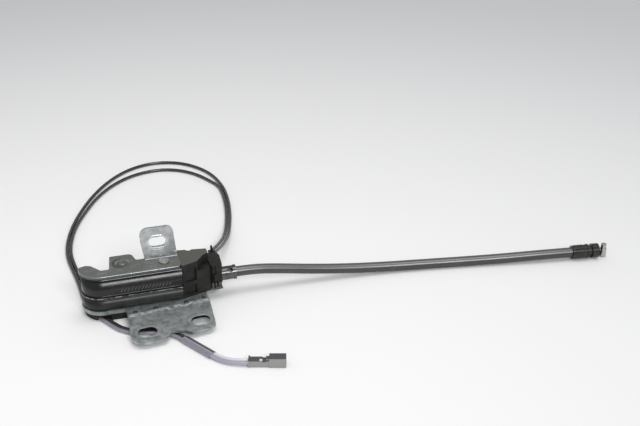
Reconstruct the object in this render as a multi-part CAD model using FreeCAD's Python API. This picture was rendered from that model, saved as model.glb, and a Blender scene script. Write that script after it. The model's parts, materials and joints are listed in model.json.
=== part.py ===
import FreeCAD, Part
import math
import os

# Door latch with its release cable and switch lead, in millimetres.
# +X runs along the body towards the release cable, +Y is the side the striker enters from, +Z is up.
# The origin lies on the fork's pivot axis, at the underside that the latch rests on.

V = FreeCAD.Vector
UP = V(0, 0, 1)
os.makedirs("parts", exist_ok=True)

# Heights of the stack, from the table up
COVER_THICK = 5.0
BOTTOM_PLATE_THICK = 2.6
LOWER_CASING_TALL = 8.6
MIDDLE_PLATE_THICK = 1.6
UPPER_CASING_TALL = 14.2
TOP_PLATE_THICK = 2.0
Z_BOTTOM_PLATE = COVER_THICK
Z_LOWER = Z_BOTTOM_PLATE + BOTTOM_PLATE_THICK
Z_MIDDLE = Z_LOWER + LOWER_CASING_TALL
Z_UPPER = Z_MIDDLE + MIDDLE_PLATE_THICK
Z_TOP_PLATE = Z_UPPER + UPPER_CASING_TALL
Z_TOP = Z_TOP_PLATE + TOP_PLATE_THICK

# Plan of the body
FRONT_Y = -15.2
NOSE_X = -29.0
NOSE_RADIUS = 14.0
LOBE_BACK_Y = 2.9
MOUTH_LEFT_X = -14.9
MOUTH_RIGHT_X = -9.3
MOUTH_BOTTOM_Y = -6.2
LOBE_TIP_X = -20.6
EAR_HALF_WIDTH = 7.3
EAR_BACK_Y = 10.8
WAIST_BACK_Y = 1.7
BODY_END_X = 37.5
SHELF_BACK_Y = 16.0
CASING_INSET = 0.9
WALL = 1.4

# Clearances
SLIP = 0.06
RUNNING_GAP = 0.2
SEAT_GAP = 0.3

# Fork: the claw that holds the striker, drawn shut and then turned back to its open rest position
FORK_TRAVEL = 50.0
STRIKER_RADIUS = 3.5
SLOT_HALF = STRIKER_RADIUS + 0.4
SLOT_ANGLE = 186.0
STRIKER_REACH = 12.2
JAW_RADIUS = 13.5
FORK_RIM = 11.0
FORK_BACK_RADIUS = 9.4
NOTCH_DEPTH = 2.2
FORK_STEEL_THICK = 3.4
JACKET_SKIN = 0.8
FORK_BORE = 4.2

# Pawl: the strut that drops behind the fork's notches
PAWL_X = 27.1
PAWL_Y = -6.0
PAWL_HUB_RADIUS = 5.5
PAWL_TRAVEL = 12.0
PAWL_HOOK_X = 12.6
PAWL_HOOK_Y = 8.8
PAWL_HOOK_RADIUS = 2.6
PAWL_TAIL_X = 39.6
PAWL_TAIL_Y = 2.8
PAWL_TAIL_RADIUS = 1.9
PAWL_NOSE_FROM = 34.0
PAWL_NOSE_TO = 47.0
MECHANISM_TALL = 6.8

# Release lever and its cable end
LEVER_X = 46.0
LEVER_Y = 8.0
LEVER_THICK = 2.6
LEVER_HUB_RADIUS = 4.0
LEVER_PIN_RADIUS = 2.2
LEVER_TRAVEL = 30.0
LEVER_ARM = 11.4
SWITCH_LOBE = [(2.8, -85.0), (5.2, -72.0), (5.2, -64.0), (4.7, -52.0), (4.2, -40.0), (3.8, -30.0)]
CABLE_Y = -3.4
CABLE_Z = 16.5
INNER_WIRE_RADIUS = 0.8
LATCH_NIPPLE_RADIUS = 1.7

# Rear housing and the block that holds the cable
HOUSING_TOP_Z = 33.0
HOUSING_END_X = 57.8
BLOCK_START_X = HOUSING_END_X
BLOCK_END_X = 66.6
BLOCK_LOW_Z = 11.2
BLOCK_HIGH_Z = 27.0
BLOCK_FRONT_Y = -10.8
BLOCK_BACK_Y = 9.0

# Front flange of the bottom plate, in its own plane: along the fold, and away from it
FLANGE_X = -1.4
FLANGE_Y = -24.7
FLANGE_YAW = 6.5
FLANGE_SLOPE = 5.5
FLANGE_WIDTH = 55.9
FLANGE_LENGTH = 31.5
FIXING_SLOT_LENGTH = 11.6
FIXING_SLOT_WIDTH = 6.6
FLANGE_THICK = 1.7
FLANGE_SLOT_LENGTH = 12.4
FLANGE_SLOT_WIDTH = 9.0
FLANGE_SLOT_FIRST = 7.5
FLANGE_SLOT_SPACING = 35.7
FLANGE_SLOT_DOWN = 20.6

# Upright tab of the top plate
TAB_LEFT_X = 15.3
TAB_RIGHT_X = 37.1
TAB_TALL = 21.7
TAB_LEAN = 8.0
TAB_SLOT_X = 24.6
TAB_SLOT_UP = 11.3
BEND_RADIUS = 0.8

# Rivets
RIVET_SHANK = 4.14
RIVET_NECK = 3.0
RIVET_HEAD_RADIUS = 3.7
RIVET_HEAD_TALL = 0.7
RIVET_FOOT_RADIUS = 5.0
RIVET_FOOT_TALL = 1.4

# Release cable
SHEATH_RADIUS = 3.6
FERRULE_RADIUS = 4.75
FERRULE_COLLAR_RADIUS = 5.1
FERRULE_START_X = 63.0
FERRULE_END_X = 76.0
FAR_FERRULE_RADIUS = 5.2
FAR_SLEEVE_LENGTH = 12.2
FAR_NECK_LENGTH = 2.8
FAR_FLANGE_LENGTH = 5.0
FAR_NECK_RADIUS = 3.8
BARREL_RADIUS = 2.4
BARREL_TALL = 10.0
TRUNNION_RADIUS = 2.0
TRUNNION_TALL = 3.6
BARREL_GAP = 2.1
CORE_STROKE = 5.9

# Switch lead
LEAD_RADIUS = 1.25
SLEEVE_LENGTH = 27.0
SLEEVE_X = 30.3
SLEEVE_Y = -53.2
SLEEVE_YAW = -59.5
PLUG_YAW = -17.1
PLUG_X = 62.7
PLUG_Y = -93.9
PLUG_REAR_LENGTH = 13.0
PLUG_FRONT_LENGTH = 10.6
PLUG_WIDTH = 6.5
PLUG_TALL = 6.4
PLUG_REAR_WIDTH = 5.5
PLUG_REAR_TALL = 4.3

# Routes of the free cords, chosen by hand
CABLE_ROUTE = [
    (76.0, -3.4, 16.5), (89.0, -3.4, 16.5), (107.0, -3.5, 13.8), (131.0, -3.8, 9.5), (157.0, -4.9, 6.1),
    (184.0, -7.3, 4.3), (212.0, -10.9, 3.75), (242.0, -15.7, 3.65), (271.0, -20.8, 4.1), (299.0, -26.0, 5.3),
    (322.5, -29.2, 5.3),
]
FAR_YAW = math.degrees(math.atan2(CABLE_ROUTE[-1][1] - CABLE_ROUTE[-2][1], CABLE_ROUTE[-1][0] - CABLE_ROUTE[-2][0]))
GREY_ROUTE = [
    (65.0, 9.9, 20.0), (65.0, 18.0, 20.0), (69.6, 29.0, 16.6), (77.2, 45.0, 11.3), (86.9, 70.0, 4.7),
    (93.9, 96.1, 1.3), (99.1, 119.9, 1.3), (102.3, 143.7, 1.3), (102.9, 165.4, 1.3),
    (99.3, 189.3, 1.3), (90.4, 208.1, 1.3), (77.1, 222.1, 1.3), (60.2, 228.3, 1.3), (43.4, 226.4, 1.3),
    (26.4, 216.7, 1.3), (10.8, 199.8, 1.3), (-3.3, 177.6, 1.3), (-15.1, 152.6, 1.3),
    (-24.4, 127.4, 1.3), (-30.4, 102.9, 1.3), (-32.5, 82.5, 1.3), (-31.4, 66.0, 1.3),
    (-29.2, 49.0, 1.3), (-27.9, 33.0, 1.3), (-27.3, 19.0, 1.3), (-26.2, 7.5, 1.3), (-23.4, -2.8, 1.3),
    (-19.0, -11.4, 1.3), (-15.7, -17.2, 1.3), (-12.2, -24.2, 1.3), (-7.2, -31.3, 1.3),
    (0.4, -36.6, 1.3), (10.0, -39.3, 1.3), (18.4, -42.4, 1.3), (24.9, -47.2, 1.75), (32.2, -59.0, 1.75),
    (39.5, -71.6, 1.75), (46.4, -82.7, 1.75), (54.63, -89.53, 2.2), (63.23, -92.18, 2.2),
]
BLACK_ROUTE = [
    (61.6, 9.9, 20.0), (61.6, 18.6, 20.0), (66.41, 30.44, 16.8), (74.25, 46.24, 11.8), (84.05, 70.93, 4.9),
    (91.08, 96.79, 1.3), (96.34, 120.39, 1.3), (99.51, 143.93, 1.3), (100.01, 165.21, 1.3),
    (95.4, 176.7, 1.3), (86.8, 194.0, 1.3), (74.3, 206.9, 1.3), (58.6, 212.9, 1.3), (42.9, 211.3, 1.3),
    (27.4, 204.3, 1.3), (12.2, 190.8, 1.3), (-1.1, 172.0, 1.3), (-11.41, 151.05, 1.3),
    (-21.72, 126.58, 1.3), (-27.64, 102.4, 1.3), (-29.7, 82.42, 1.3), (-28.61, 66.27, 1.3),
    (-26.42, 49.3, 1.3), (-25.11, 33.18, 1.3), (-24.51, 19.19, 1.3), (-23.44, 7.99, 1.3),
    (-20.78, -1.8, 1.3), (-16.53, -10.08, 1.3), (-13.23, -15.89, 1.3), (-9.8, -22.75, 1.3),
    (-5.24, -29.3, 1.3), (1.58, -34.06, 1.3), (10.86, -36.63, 1.3), (19.71, -39.93, 1.3),
    (27.05, -45.41, 1.75), (34.6, -57.56, 1.75), (41.9, -70.16, 1.75), (48.54, -80.89, 1.75),
    (55.48, -86.76, 2.2), (64.08, -89.41, 2.2),
]


def rounded_face(corners, z):
    """Flat outline at height z; each corner is (x, y, radius of its rounding)."""
    count = len(corners)
    pieces = []
    for i in range(count):
        x, y, radius = corners[i]
        here = V(x, y, z)
        back = V(corners[i - 1][0], corners[i - 1][1], z) - here
        ahead = V(corners[(i + 1) % count][0], corners[(i + 1) % count][1], z) - here
        back.normalize()
        ahead.normalize()
        if radius <= 0:
            pieces.append((here, None, here))
            continue
        half = back.getAngle(ahead) / 2
        middle = (back + ahead).normalize()
        cut = radius / math.tan(half)
        centre = here + middle * (radius / math.sin(half))
        pieces.append((here + back * cut, centre - middle * radius, here + ahead * cut))
    edges = []
    for i in range(count):
        start, middle, end = pieces[i]
        if middle is not None:
            edges.append(Part.Arc(start, middle, end).toShape())
        following = pieces[(i + 1) % count][0]
        if end.distanceToPoint(following) > 1e-6:
            edges.append(Part.LineSegment(end, following).toShape())
    return Part.Face(Part.Wire(edges))


def prism(corners, low, high):
    """Outline raised from one height to another."""
    return rounded_face(corners, low).extrude(V(0, 0, high - low))


def post(x, y, low, high, radius):
    """Upright cylinder."""
    return Part.makeCylinder(radius, high - low, V(x, y, low), UP)


def box(x0, x1, y0, y1, z0, z1):
    """Box between two corners."""
    return Part.makeBox(x1 - x0, y1 - y0, z1 - z0, V(x0, y0, z0))


def polar(radius, degrees):
    """Plan position from a radius and an angle about the fork's pivot."""
    return radius * math.cos(math.radians(degrees)), radius * math.sin(math.radians(degrees))


def turned(shape, degrees, x=0.0, y=0.0):
    """Copy turned about an upright axis."""
    copy = shape.copy()
    copy.rotate(V(x, y, 0), UP, degrees)
    return copy


def link(x0, y0, r0, x1, y1, r1, low, high):
    """Flat arm between two round ends, with straight flanks tangent to both."""
    along = math.atan2(y1 - y0, x1 - x0)
    span = math.hypot(x1 - x0, y1 - y0)
    lean = math.acos((r0 - r1) / span)
    flank = []
    for side in (1, -1):
        a = along + side * lean
        flank.append((x0 + r0 * math.cos(a), y0 + r0 * math.sin(a)))
        flank.append((x1 + r1 * math.cos(a), y1 + r1 * math.sin(a)))
    order = [flank[0], flank[1], flank[3], flank[2]]
    web = prism([(x, y, 0) for x, y in order], low, high)
    return web.fuse([post(x0, y0, low, high, r0), post(x1, y1, low, high, r1)]).removeSplitter()


def soften(shape, radius, chosen):
    """Round the edges that a test picks."""
    edges = [edge for edge in shape.Edges if chosen(edge)]
    return shape.makeFillet(radius, edges) if edges else shape


def on_outer_rim(z):
    """Test for the edges at one height round the front and the nose."""
    def chosen(edge):
        level = abs(edge.BoundBox.ZMin - z) < 0.01 and abs(edge.BoundBox.ZMax - z) < 0.01
        ends = [vertex.Point for vertex in edge.Vertexes]
        return level and all(end.y < FRONT_Y + 2.5 or end.x < NOSE_X + 4.5 for end in ends)
    return chosen


def stadium(length, width, low, high):
    """Slot-shaped tool along X, centred on the origin."""
    half = (length - width) / 2
    return link(-half, 0, width / 2, half, 0, width / 2 - 1e-4, low, high)


def body_outline(inset, mouth_growth=0.0, end_round=0.0):
    """Plan of the latch body: nose, mouth, ear and waist, seen from above, drawn inwards by an inset."""
    return [
        (NOSE_X + inset, FRONT_Y + inset, NOSE_RADIUS - inset),
        (BODY_END_X, FRONT_Y + inset, end_round),
        (BODY_END_X, WAIST_BACK_Y - inset, 0),
        (EAR_HALF_WIDTH + 2.2 - inset, WAIST_BACK_Y - inset, 1.5),
        (EAR_HALF_WIDTH - inset, EAR_BACK_Y - inset, 3.0),
        (-EAR_HALF_WIDTH + mouth_growth, EAR_BACK_Y - inset, 1.2),
        (MOUTH_RIGHT_X + mouth_growth, MOUTH_BOTTOM_Y - mouth_growth, 1.5),
        (MOUTH_LEFT_X - mouth_growth, MOUTH_BOTTOM_Y - mouth_growth, 1.5),
        (LOBE_TIP_X - mouth_growth, LOBE_BACK_Y - inset - 1.0, 3.0),
        (LOBE_TIP_X - 4.0, LOBE_BACK_Y - inset + 0.4, 0),
        (NOSE_X + inset, LOBE_BACK_Y - inset - 0.6, 3.2),
    ]


def back_shelf(low, high, inset=0.0):
    """Deeper part of the body behind the ear and the waist."""
    return prism([
        (-EAR_HALF_WIDTH, WAIST_BACK_Y - 4.0, 0), (BODY_END_X, WAIST_BACK_Y - 4.0, 0),
        (BODY_END_X, SHELF_BACK_Y - inset, 0), (-EAR_HALF_WIDTH + 1.0, SHELF_BACK_Y - inset, 3.0),
    ], low, high)


def mechanism_room(low, high):
    """Space that the fork sweeps and the pawl swings in, open towards the rear housing."""
    sweep = post(0, 0, low, high, JAW_RADIUS + 0.6)
    front = FRONT_Y + CASING_INSET + WALL
    sweep = sweep.cut(box(-40, 40, -40, front, low, high))
    hall = prism([
        (0, front, 0), (BODY_END_X + 1, front, 0),
        (BODY_END_X + 1, SHELF_BACK_Y - WALL, 0), (-2.5, SHELF_BACK_Y - WALL, 0),
    ], low, high)
    return sweep.fuse(hall)


def rivet_hole(x, y, radius, low=-1.0, high=60.0):
    """Tool for a hole on a rivet's axis."""
    return post(x, y, low, high, radius)


def both_rivets(radius, low=-1.0, high=60.0):
    """Tool for the fork's and the pawl's rivet holes together."""
    return rivet_hole(0, 0, radius, low, high).fuse(rivet_hole(PAWL_X, PAWL_Y, radius, low, high))


def make_top_plate():
    """Stamped cover plate with its upright slotted tab."""
    plate = prism(body_outline(0.0, end_round=4.0), Z_TOP_PLATE, Z_TOP)
    tab = prism([
        (TAB_LEFT_X, -1.0, 0), (TAB_RIGHT_X, -1.0, 0), (TAB_RIGHT_X - 1.6, TAB_TALL, 4.5),
        (TAB_LEFT_X - 2.2, TAB_TALL, 5.5), (TAB_LEFT_X - 1.9, 12.0, 4.0),
    ], 0, TOP_PLATE_THICK)
    slot = stadium(FIXING_SLOT_LENGTH, FIXING_SLOT_WIDTH, -1, TOP_PLATE_THICK + 1)
    slot.translate(V(TAB_SLOT_X, TAB_SLOT_UP, 0))
    tab = tab.cut(slot)
    tab.rotate(V(0, 0, 0), V(1, 0, 0), 90 - TAB_LEAN)
    tab.translate(V(0, TOP_PLATE_THICK - 0.2, Z_TOP))
    foot = box(TAB_LEFT_X, TAB_RIGHT_X, -2.0, WAIST_BACK_Y, Z_TOP_PLATE, Z_TOP)
    gusset = prism([(0, 0, 0), (BEND_RADIUS, 0, 0), (0, BEND_RADIUS, 0)], TAB_LEFT_X, TAB_RIGHT_X)
    gusset.rotate(V(0, 0, 0), V(1, 1, 1), 120)
    gusset.rotate(V(0, 0, 0), UP, 180)
    gusset.translate(V(TAB_LEFT_X + TAB_RIGHT_X, 0.15, Z_TOP))
    plate = plate.fuse([foot, tab, gusset]).removeSplitter()
    plate = plate.cut(both_rivets(RIVET_NECK))
    return soften(plate, 0.5, on_outer_rim(Z_TOP))


def make_upper_casing():
    """Upper moulding: glossy shell over the fork and pawl, with pockets for their springs."""
    shelf_top = Z_UPPER + MECHANISM_TALL + 1.2
    shell = prism(body_outline(CASING_INSET, 0.8), Z_UPPER, Z_TOP_PLATE)
    shell = soften(shell, 3.15, on_outer_rim(Z_TOP_PLATE))
    shell = soften(shell, 1.6, on_outer_rim(Z_UPPER))
    shell = shell.fuse(back_shelf(Z_UPPER, shelf_top)).removeSplitter()
    shell = shell.cut(mechanism_room(Z_UPPER - 1, Z_UPPER + MECHANISM_TALL))
    shell = shell.cut(both_rivets(RIVET_SHANK))
    roof = Z_UPPER + MECHANISM_TALL
    shell = shell.cut(rivet_hole(0, 0, 6.3, roof - 0.1, roof + 4.4))
    shell = shell.cut(rivet_hole(PAWL_X, PAWL_Y, 6.8, roof - 0.1, roof + 4.0))
    pocket = box(MOUTH_LEFT_X - 0.6, MOUTH_RIGHT_X + 0.6, MOUTH_BOTTOM_Y - 4.6, MOUTH_BOTTOM_Y + 1,
                 roof + 1.0, Z_TOP_PLATE - 1.0)
    shell = shell.cut(pocket)
    return shell


def make_striker_buffer():
    """Rubber stop at the bottom of the mouth."""
    low = Z_UPPER + MECHANISM_TALL + 1.0
    return prism([
        (MOUTH_LEFT_X - 0.6, MOUTH_BOTTOM_Y - 4.6, 0), (MOUTH_RIGHT_X + 0.6, MOUTH_BOTTOM_Y - 4.6, 0),
        (MOUTH_RIGHT_X + 0.6, MOUTH_BOTTOM_Y - 0.3, 1.2), (MOUTH_LEFT_X - 0.6, MOUTH_BOTTOM_Y - 0.3, 1.2),
    ], low, Z_TOP_PLATE - 1.0)


def make_middle_plate():
    """Steel plate between the two mouldings, which carries the fork and the pawl."""
    plate = prism(body_outline(0.35), Z_MIDDLE, Z_UPPER)
    plate = plate.fuse(back_shelf(Z_MIDDLE, Z_UPPER)).removeSplitter()
    return plate.cut(both_rivets(RIVET_SHANK))


def make_lower_casing():
    """Lower moulding between the middle and the bottom plates."""
    shell = prism(body_outline(CASING_INSET, 0.8), Z_LOWER, Z_MIDDLE)
    shell = soften(shell, 1.5, on_outer_rim(Z_MIDDLE))
    shell = soften(shell, 1.5, on_outer_rim(Z_LOWER))
    shell = shell.fuse(back_shelf(Z_LOWER, Z_MIDDLE)).removeSplitter()
    hollow = prism([
        (-6.0, FRONT_Y + CASING_INSET + 2 * WALL, 2), (BODY_END_X + 1, FRONT_Y + CASING_INSET + 2 * WALL, 0),
        (BODY_END_X + 1, SHELF_BACK_Y - WALL, 0), (-4.5, SHELF_BACK_Y - WALL, 2),
    ], Z_LOWER - 1, Z_MIDDLE - WALL)
    bosses = post(0, 0, Z_LOWER - 1, Z_MIDDLE, 7.0).fuse(post(PAWL_X, PAWL_Y, Z_LOWER - 1, Z_MIDDLE, 7.0))
    shell = shell.cut(hollow.cut(bosses))
    return shell.cut(both_rivets(RIVET_SHANK))


def flange_frame(shape):
    """Place a shape drawn in the flange's own plane: folded down, turned and moved to the fold."""
    shape.rotate(V(0, 0, 0), V(1, 0, 0), FLANGE_SLOPE)
    shape.rotate(V(0, 0, 0), UP, FLANGE_YAW)
    shape.translate(V(FLANGE_X, FLANGE_Y, Z_LOWER))
    return shape


def make_bottom_plate():
    """Main steel plate: body, folded front flange with two slots, and a tongue under the cable block."""
    plate = prism(body_outline(0.0), Z_BOTTOM_PLATE, Z_LOWER)
    plate = plate.fuse(back_shelf(Z_BOTTOM_PLATE, Z_LOWER))
    yaw = math.radians(FLANGE_YAW)
    fold_end_x = FLANGE_X + FLANGE_WIDTH * math.cos(yaw)
    fold_end_y = FLANGE_Y + FLANGE_WIDTH * math.sin(yaw)
    apron = prism([
        (FLANGE_X, FLANGE_Y, 0), (fold_end_x, fold_end_y, 0), (fold_end_x - 1.0, -6.0, 0),
        (HOUSING_END_X - 1.0, 0.0, 0), (HOUSING_END_X - 1.0, 6.0, 0), (BODY_END_X - 2.0, 13.0, 0),
        (BODY_END_X - 2.0, FRONT_Y + 2.0, 0), (FLANGE_X - 1.2, FRONT_Y + 2.0, 0),
        (FLANGE_X - 0.6, FRONT_Y - 1.0, 0),
    ], Z_LOWER - FLANGE_THICK, Z_LOWER)
    leaf = flange_frame(prism([
        (-0.3, 0.2, 0), (-5.3, -FLANGE_LENGTH, 8.5), (16.3, -FLANGE_LENGTH, 2.0),
        (22.2, -FLANGE_LENGTH + 6.2, 2.0), (31.0, -FLANGE_LENGTH + 3.6, 1.5),
        (34.4, -FLANGE_LENGTH + 0.2, 1.5), (FLANGE_WIDTH - 5.0, -FLANGE_LENGTH + 0.9, 5.0),
        (FLANGE_WIDTH, 0.2, 0),
    ], -FLANGE_THICK, 0))
    tongue = prism([
        (HOUSING_END_X - 3.0, -7.0, 0), (BLOCK_END_X - 2.0, -5.0, 1.5),
        (BLOCK_END_X - 2.0, 5.0, 1.5), (HOUSING_END_X - 3.0, 6.0, 0),
    ], Z_BOTTOM_PLATE, Z_LOWER)
    plate = plate.fuse([apron, leaf, tongue]).removeSplitter()
    for i in range(2):
        slot = stadium(FLANGE_SLOT_LENGTH, FLANGE_SLOT_WIDTH, -BOTTOM_PLATE_THICK - 2, 2)
        slot.translate(V(FLANGE_SLOT_FIRST + i * FLANGE_SLOT_SPACING, -FLANGE_SLOT_DOWN, 0))
        plate = plate.cut(flange_frame(slot))
    return plate.cut(both_rivets(RIVET_SHANK))


def make_bottom_cover():
    """Plastic cover under the bottom plate, which the latch rests on, with a tunnel for the lead."""
    cover = prism([
        (NOSE_X + 1.6, FRONT_Y + 0.8, NOSE_RADIUS + 1.0), (BODY_END_X - 2, FRONT_Y + 0.8, 2),
        (BODY_END_X - 2, SHELF_BACK_Y - 1.5, 2), (-EAR_HALF_WIDTH + 1.5, SHELF_BACK_Y - 1.5, 2),
        (-EAR_HALF_WIDTH + 0.8, MOUTH_BOTTOM_Y, 1.5), (MOUTH_LEFT_X - 1.0, MOUTH_BOTTOM_Y - 1.0, 1.5),
        (LOBE_TIP_X, LOBE_BACK_Y - 1.5, 1.0), (NOSE_X + 1.6, LOBE_BACK_Y - 1.5, 0.8),
    ], 0, COVER_THICK)
    tunnel = prism([
        (-26.9, 4.5, 0), (-24.9, -2.9, 6), (-17.6, -17.5, 0), (-9.4, -17.5, 0), (-18.0, -1.0, 6), (-20.6, 4.5, 0),
    ], -1, 2 * LEAD_RADIUS + 0.7)
    cover = cover.cut(tunnel)
    return cover.cut(both_rivets(RIVET_FOOT_RADIUS + SLIP, Z_BOTTOM_PLATE - RIVET_FOOT_TALL, Z_LOWER))


def make_rivet(x, y):
    """Shouldered rivet through the whole stack, with a thin head on top and a foot below."""
    shank = post(x, y, Z_BOTTOM_PLATE, Z_TOP_PLATE, RIVET_SHANK)
    neck = post(x, y, Z_TOP_PLATE, Z_TOP, RIVET_NECK)
    head = post(x, y, Z_TOP, Z_TOP + RIVET_HEAD_TALL, RIVET_HEAD_RADIUS)
    rim = [edge for edge in head.Edges if abs(edge.BoundBox.ZMin - Z_TOP - RIVET_HEAD_TALL) < 0.01]
    head = head.makeFillet(RIVET_HEAD_TALL * 0.6, rim)
    foot = post(x, y, Z_BOTTOM_PLATE - RIVET_FOOT_TALL, Z_BOTTOM_PLATE, RIVET_FOOT_RADIUS)
    return shank.fuse([neck, head, foot]).removeSplitter()


def fork_profile(low, high, rim, back, jaw):
    """Claw as it stands when shut: two jaws about the striker slot, a notched rim and a plain back."""
    blank = post(0, 0, low, high, back)
    sector = prism([(0, 0, 0)] + [polar(rim * 1.25, a) + (0,) for a in (75, 45, 15, -10, -30)], low, high)
    blank = blank.fuse(sector.common(post(0, 0, low, high, rim)).translated(V(0, 0, 0)))
    blank = turned(blank, FORK_TRAVEL)
    jaws = prism([
        (0, 0, 0), polar(jaw * 1.2, 148) + (0,), polar(jaw * 1.3, 170) + (0,), polar(jaw * 1.3, 195) + (0,),
        polar(jaw * 1.2, 230) + (0,),
    ], low, high).common(post(0, 0, low, high, jaw))
    neck = post(0, 0, low, high, rim).common(prism([
        (0, 0, 0), polar(rim * 1.3, 122) + (0,), polar(rim * 1.3, 150) + (0,), polar(rim * 1.3, 200) + (0,),
        polar(rim * 1.3, 240) + (0,),
    ], low, high))
    return blank.fuse([jaws, neck]).removeSplitter()


def striker_slot(grow, low, high):
    """Slot in the claw that wraps the striker when shut."""
    x, y = polar(STRIKER_REACH, SLOT_ANGLE)
    far_x, far_y = polar(STRIKER_REACH + 14, SLOT_ANGLE)
    half = SLOT_HALF + grow
    return link(x, y, half, far_x, far_y, half + 0.3, low, high)


def rim_notch(leading, width, low, high):
    """Step in the rim that the pawl drops into; the leading face stands radially."""
    inner = FORK_RIM - NOTCH_DEPTH
    outer = FORK_RIM * 1.2
    return prism([
        polar(inner, leading) + (0,), polar(inner, leading - width) + (0,),
        polar(outer, leading - width - 6) + (0,), polar(outer, leading) + (0,),
    ], low, high)


def make_fork_steel():
    """Stamped steel claw with its full and its half-shut notch."""
    low = Z_UPPER + (MECHANISM_TALL - FORK_STEEL_THICK) / 2 - 0.3
    high = low + FORK_STEEL_THICK
    claw = fork_profile(low, high, FORK_RIM, FORK_BACK_RADIUS, JAW_RADIUS)
    claw = claw.cut(striker_slot(0, low - 1, high + 1))
    claw = turned(claw, -FORK_TRAVEL)
    for leading, width in ((-0.5, 22.0), (27.0, 14.0)):
        claw = claw.cut(rim_notch(leading, width, low - 1, high + 1))
    return claw.cut(post(0, 0, low - 1, high + 1, FORK_BORE))


def make_fork_jacket(steel):
    """Plastic moulded round the claw's hub and back, which quietens it."""
    low = Z_UPPER + RUNNING_GAP
    high = Z_UPPER + MECHANISM_TALL - RUNNING_GAP - 0.2
    hub = post(0, 0, low, high, FORK_RIM - NOTCH_DEPTH - 1.2)
    wrap = prism([(0, 0, 0)] + [polar(16, a) + (0,) for a in (205, 235, 265, 295, 315)], low + 0.3, high - 0.3)
    wrap = wrap.common(post(0, 0, low + 0.3, high - 0.3, FORK_BACK_RADIUS + JACKET_SKIN))
    jacket = hub.fuse(wrap).cut(turned(striker_slot(0.0, low - 1, high + 1), -FORK_TRAVEL))
    return jacket.cut(steel).cut(post(0, 0, low - 1, high + 1, FORK_BORE))


def make_pawl():
    """Pawl: hub, hooked arm with a radial nose on the fork's rim, and a tail for the release lever."""
    low = Z_UPPER + (MECHANISM_TALL - FORK_STEEL_THICK) / 2 - 0.3
    high = low + FORK_STEEL_THICK
    arm = link(PAWL_X, PAWL_Y, PAWL_HUB_RADIUS, PAWL_HOOK_X, PAWL_HOOK_Y, PAWL_HOOK_RADIUS, low, high)
    tail = link(PAWL_X, PAWL_Y, PAWL_HUB_RADIUS - 0.6, PAWL_TAIL_X, PAWL_TAIL_Y, PAWL_TAIL_RADIUS, low, high)
    reach = FORK_RIM + SEAT_GAP
    nose = prism([
        polar(reach, PAWL_NOSE_FROM) + (0.5,), polar(reach + 5.0, PAWL_NOSE_FROM - 6) + (0,),
        polar(reach + 5.0, PAWL_NOSE_TO - 4) + (0.8,), polar(reach, PAWL_NOSE_TO) + (0,),
    ], low, high)
    hub = post(PAWL_X, PAWL_Y, Z_UPPER + RUNNING_GAP, Z_UPPER + MECHANISM_TALL - RUNNING_GAP, PAWL_HUB_RADIUS)
    pawl = arm.fuse([tail, nose, hub]).removeSplitter()
    return pawl.cut(rivet_hole(PAWL_X, PAWL_Y, RIVET_SHANK + SLIP))


def coil(x, y, low, radius, wire, turns):
    """Close-wound torsion spring about a rivet, drawn as touching turns that share a narrow web."""
    pitch = wire * 0.96
    half_web = wire * 0.2
    outer = []
    inner = []
    for i in range(turns):
        z0 = low + i * pitch
        for side, edges in ((1, outer), (-1, inner)):
            start = V(radius + side * half_web, 0, z0)
            crown = V(radius + side * wire / 2, 0, z0 + pitch / 2)
            end = V(radius + side * half_web, 0, z0 + pitch)
            edges.append(Part.Arc(start, crown, end).toShape())
    top = low + turns * pitch
    caps = [
        Part.makeLine(V(radius - half_web, 0, low), V(radius + half_web, 0, low)),
        Part.makeLine(V(radius - half_web, 0, top), V(radius + half_web, 0, top)),
    ]
    profile = Part.Face(Part.Wire(Part.__sortEdges__(outer + inner + caps)))
    spring = profile.revolve(V(0, 0, 0), UP, 360)
    spring.translate(V(x, y, 0))
    return spring


def make_release_lever():
    """Bell crank: a long slotted arm for the cable's nipple and a short arm that pushes the pawl's tail."""
    low = Z_UPPER + (MECHANISM_TALL - FORK_STEEL_THICK) / 2 - 0.3 - 0.9
    high = low + LEVER_THICK
    half = math.radians(LEVER_TRAVEL / 2)
    nipple_x = LEVER_X - LEVER_ARM * math.sin(half)
    long_arm = link(LEVER_X, LEVER_Y, 2.7, nipple_x, CABLE_Y, 2.9, low, high)
    short_arm = link(LEVER_X, LEVER_Y, 3.0, LEVER_X - 5.6, LEVER_Y - 1.4, 1.6, low, high)
    hub = post(LEVER_X, LEVER_Y, low - 1.0, high + 1.0, LEVER_HUB_RADIUS)
    lobe = prism([
        (LEVER_X + dx, LEVER_Y + dy, 0)
        for dx, dy in (polar(r, a) for r, a in SWITCH_LOBE)
    ], low, high)
    lever = long_arm.fuse([short_arm, hub, lobe]).removeSplitter()
    slot = link(nipple_x, CABLE_Y, LATCH_NIPPLE_RADIUS + 0.2, nipple_x - 1.5, CABLE_Y - 5.6,
                LATCH_NIPPLE_RADIUS + 0.21, low - 1, high + 1)
    widening = link(nipple_x, CABLE_Y, LATCH_NIPPLE_RADIUS + 0.2, nipple_x + 0.2, CABLE_Y + 0.7,
                    LATCH_NIPPLE_RADIUS + 0.21, low - 1, high + 1)
    lever = lever.cut(slot).cut(widening)
    return lever.cut(post(LEVER_X, LEVER_Y, low - 3, high + 3, LEVER_PIN_RADIUS + SLIP))


def housing_outline(inset):
    """Plan of the rear housing above its shelf; its front wall falls back towards the cable."""
    return [
        (BODY_END_X, FRONT_Y + CASING_INSET + inset, 0.6), (48.5 - inset * 0.4, -10.2 + inset, 2.0),
        (54.4 - inset, -2.4 + inset, 1.5), (HOUSING_END_X - inset, -1.0 + inset, 0.8),
        (HOUSING_END_X - inset, 5.4 - inset, 1.0), (BODY_END_X, 8.4 - inset, 0),
    ]


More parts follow.
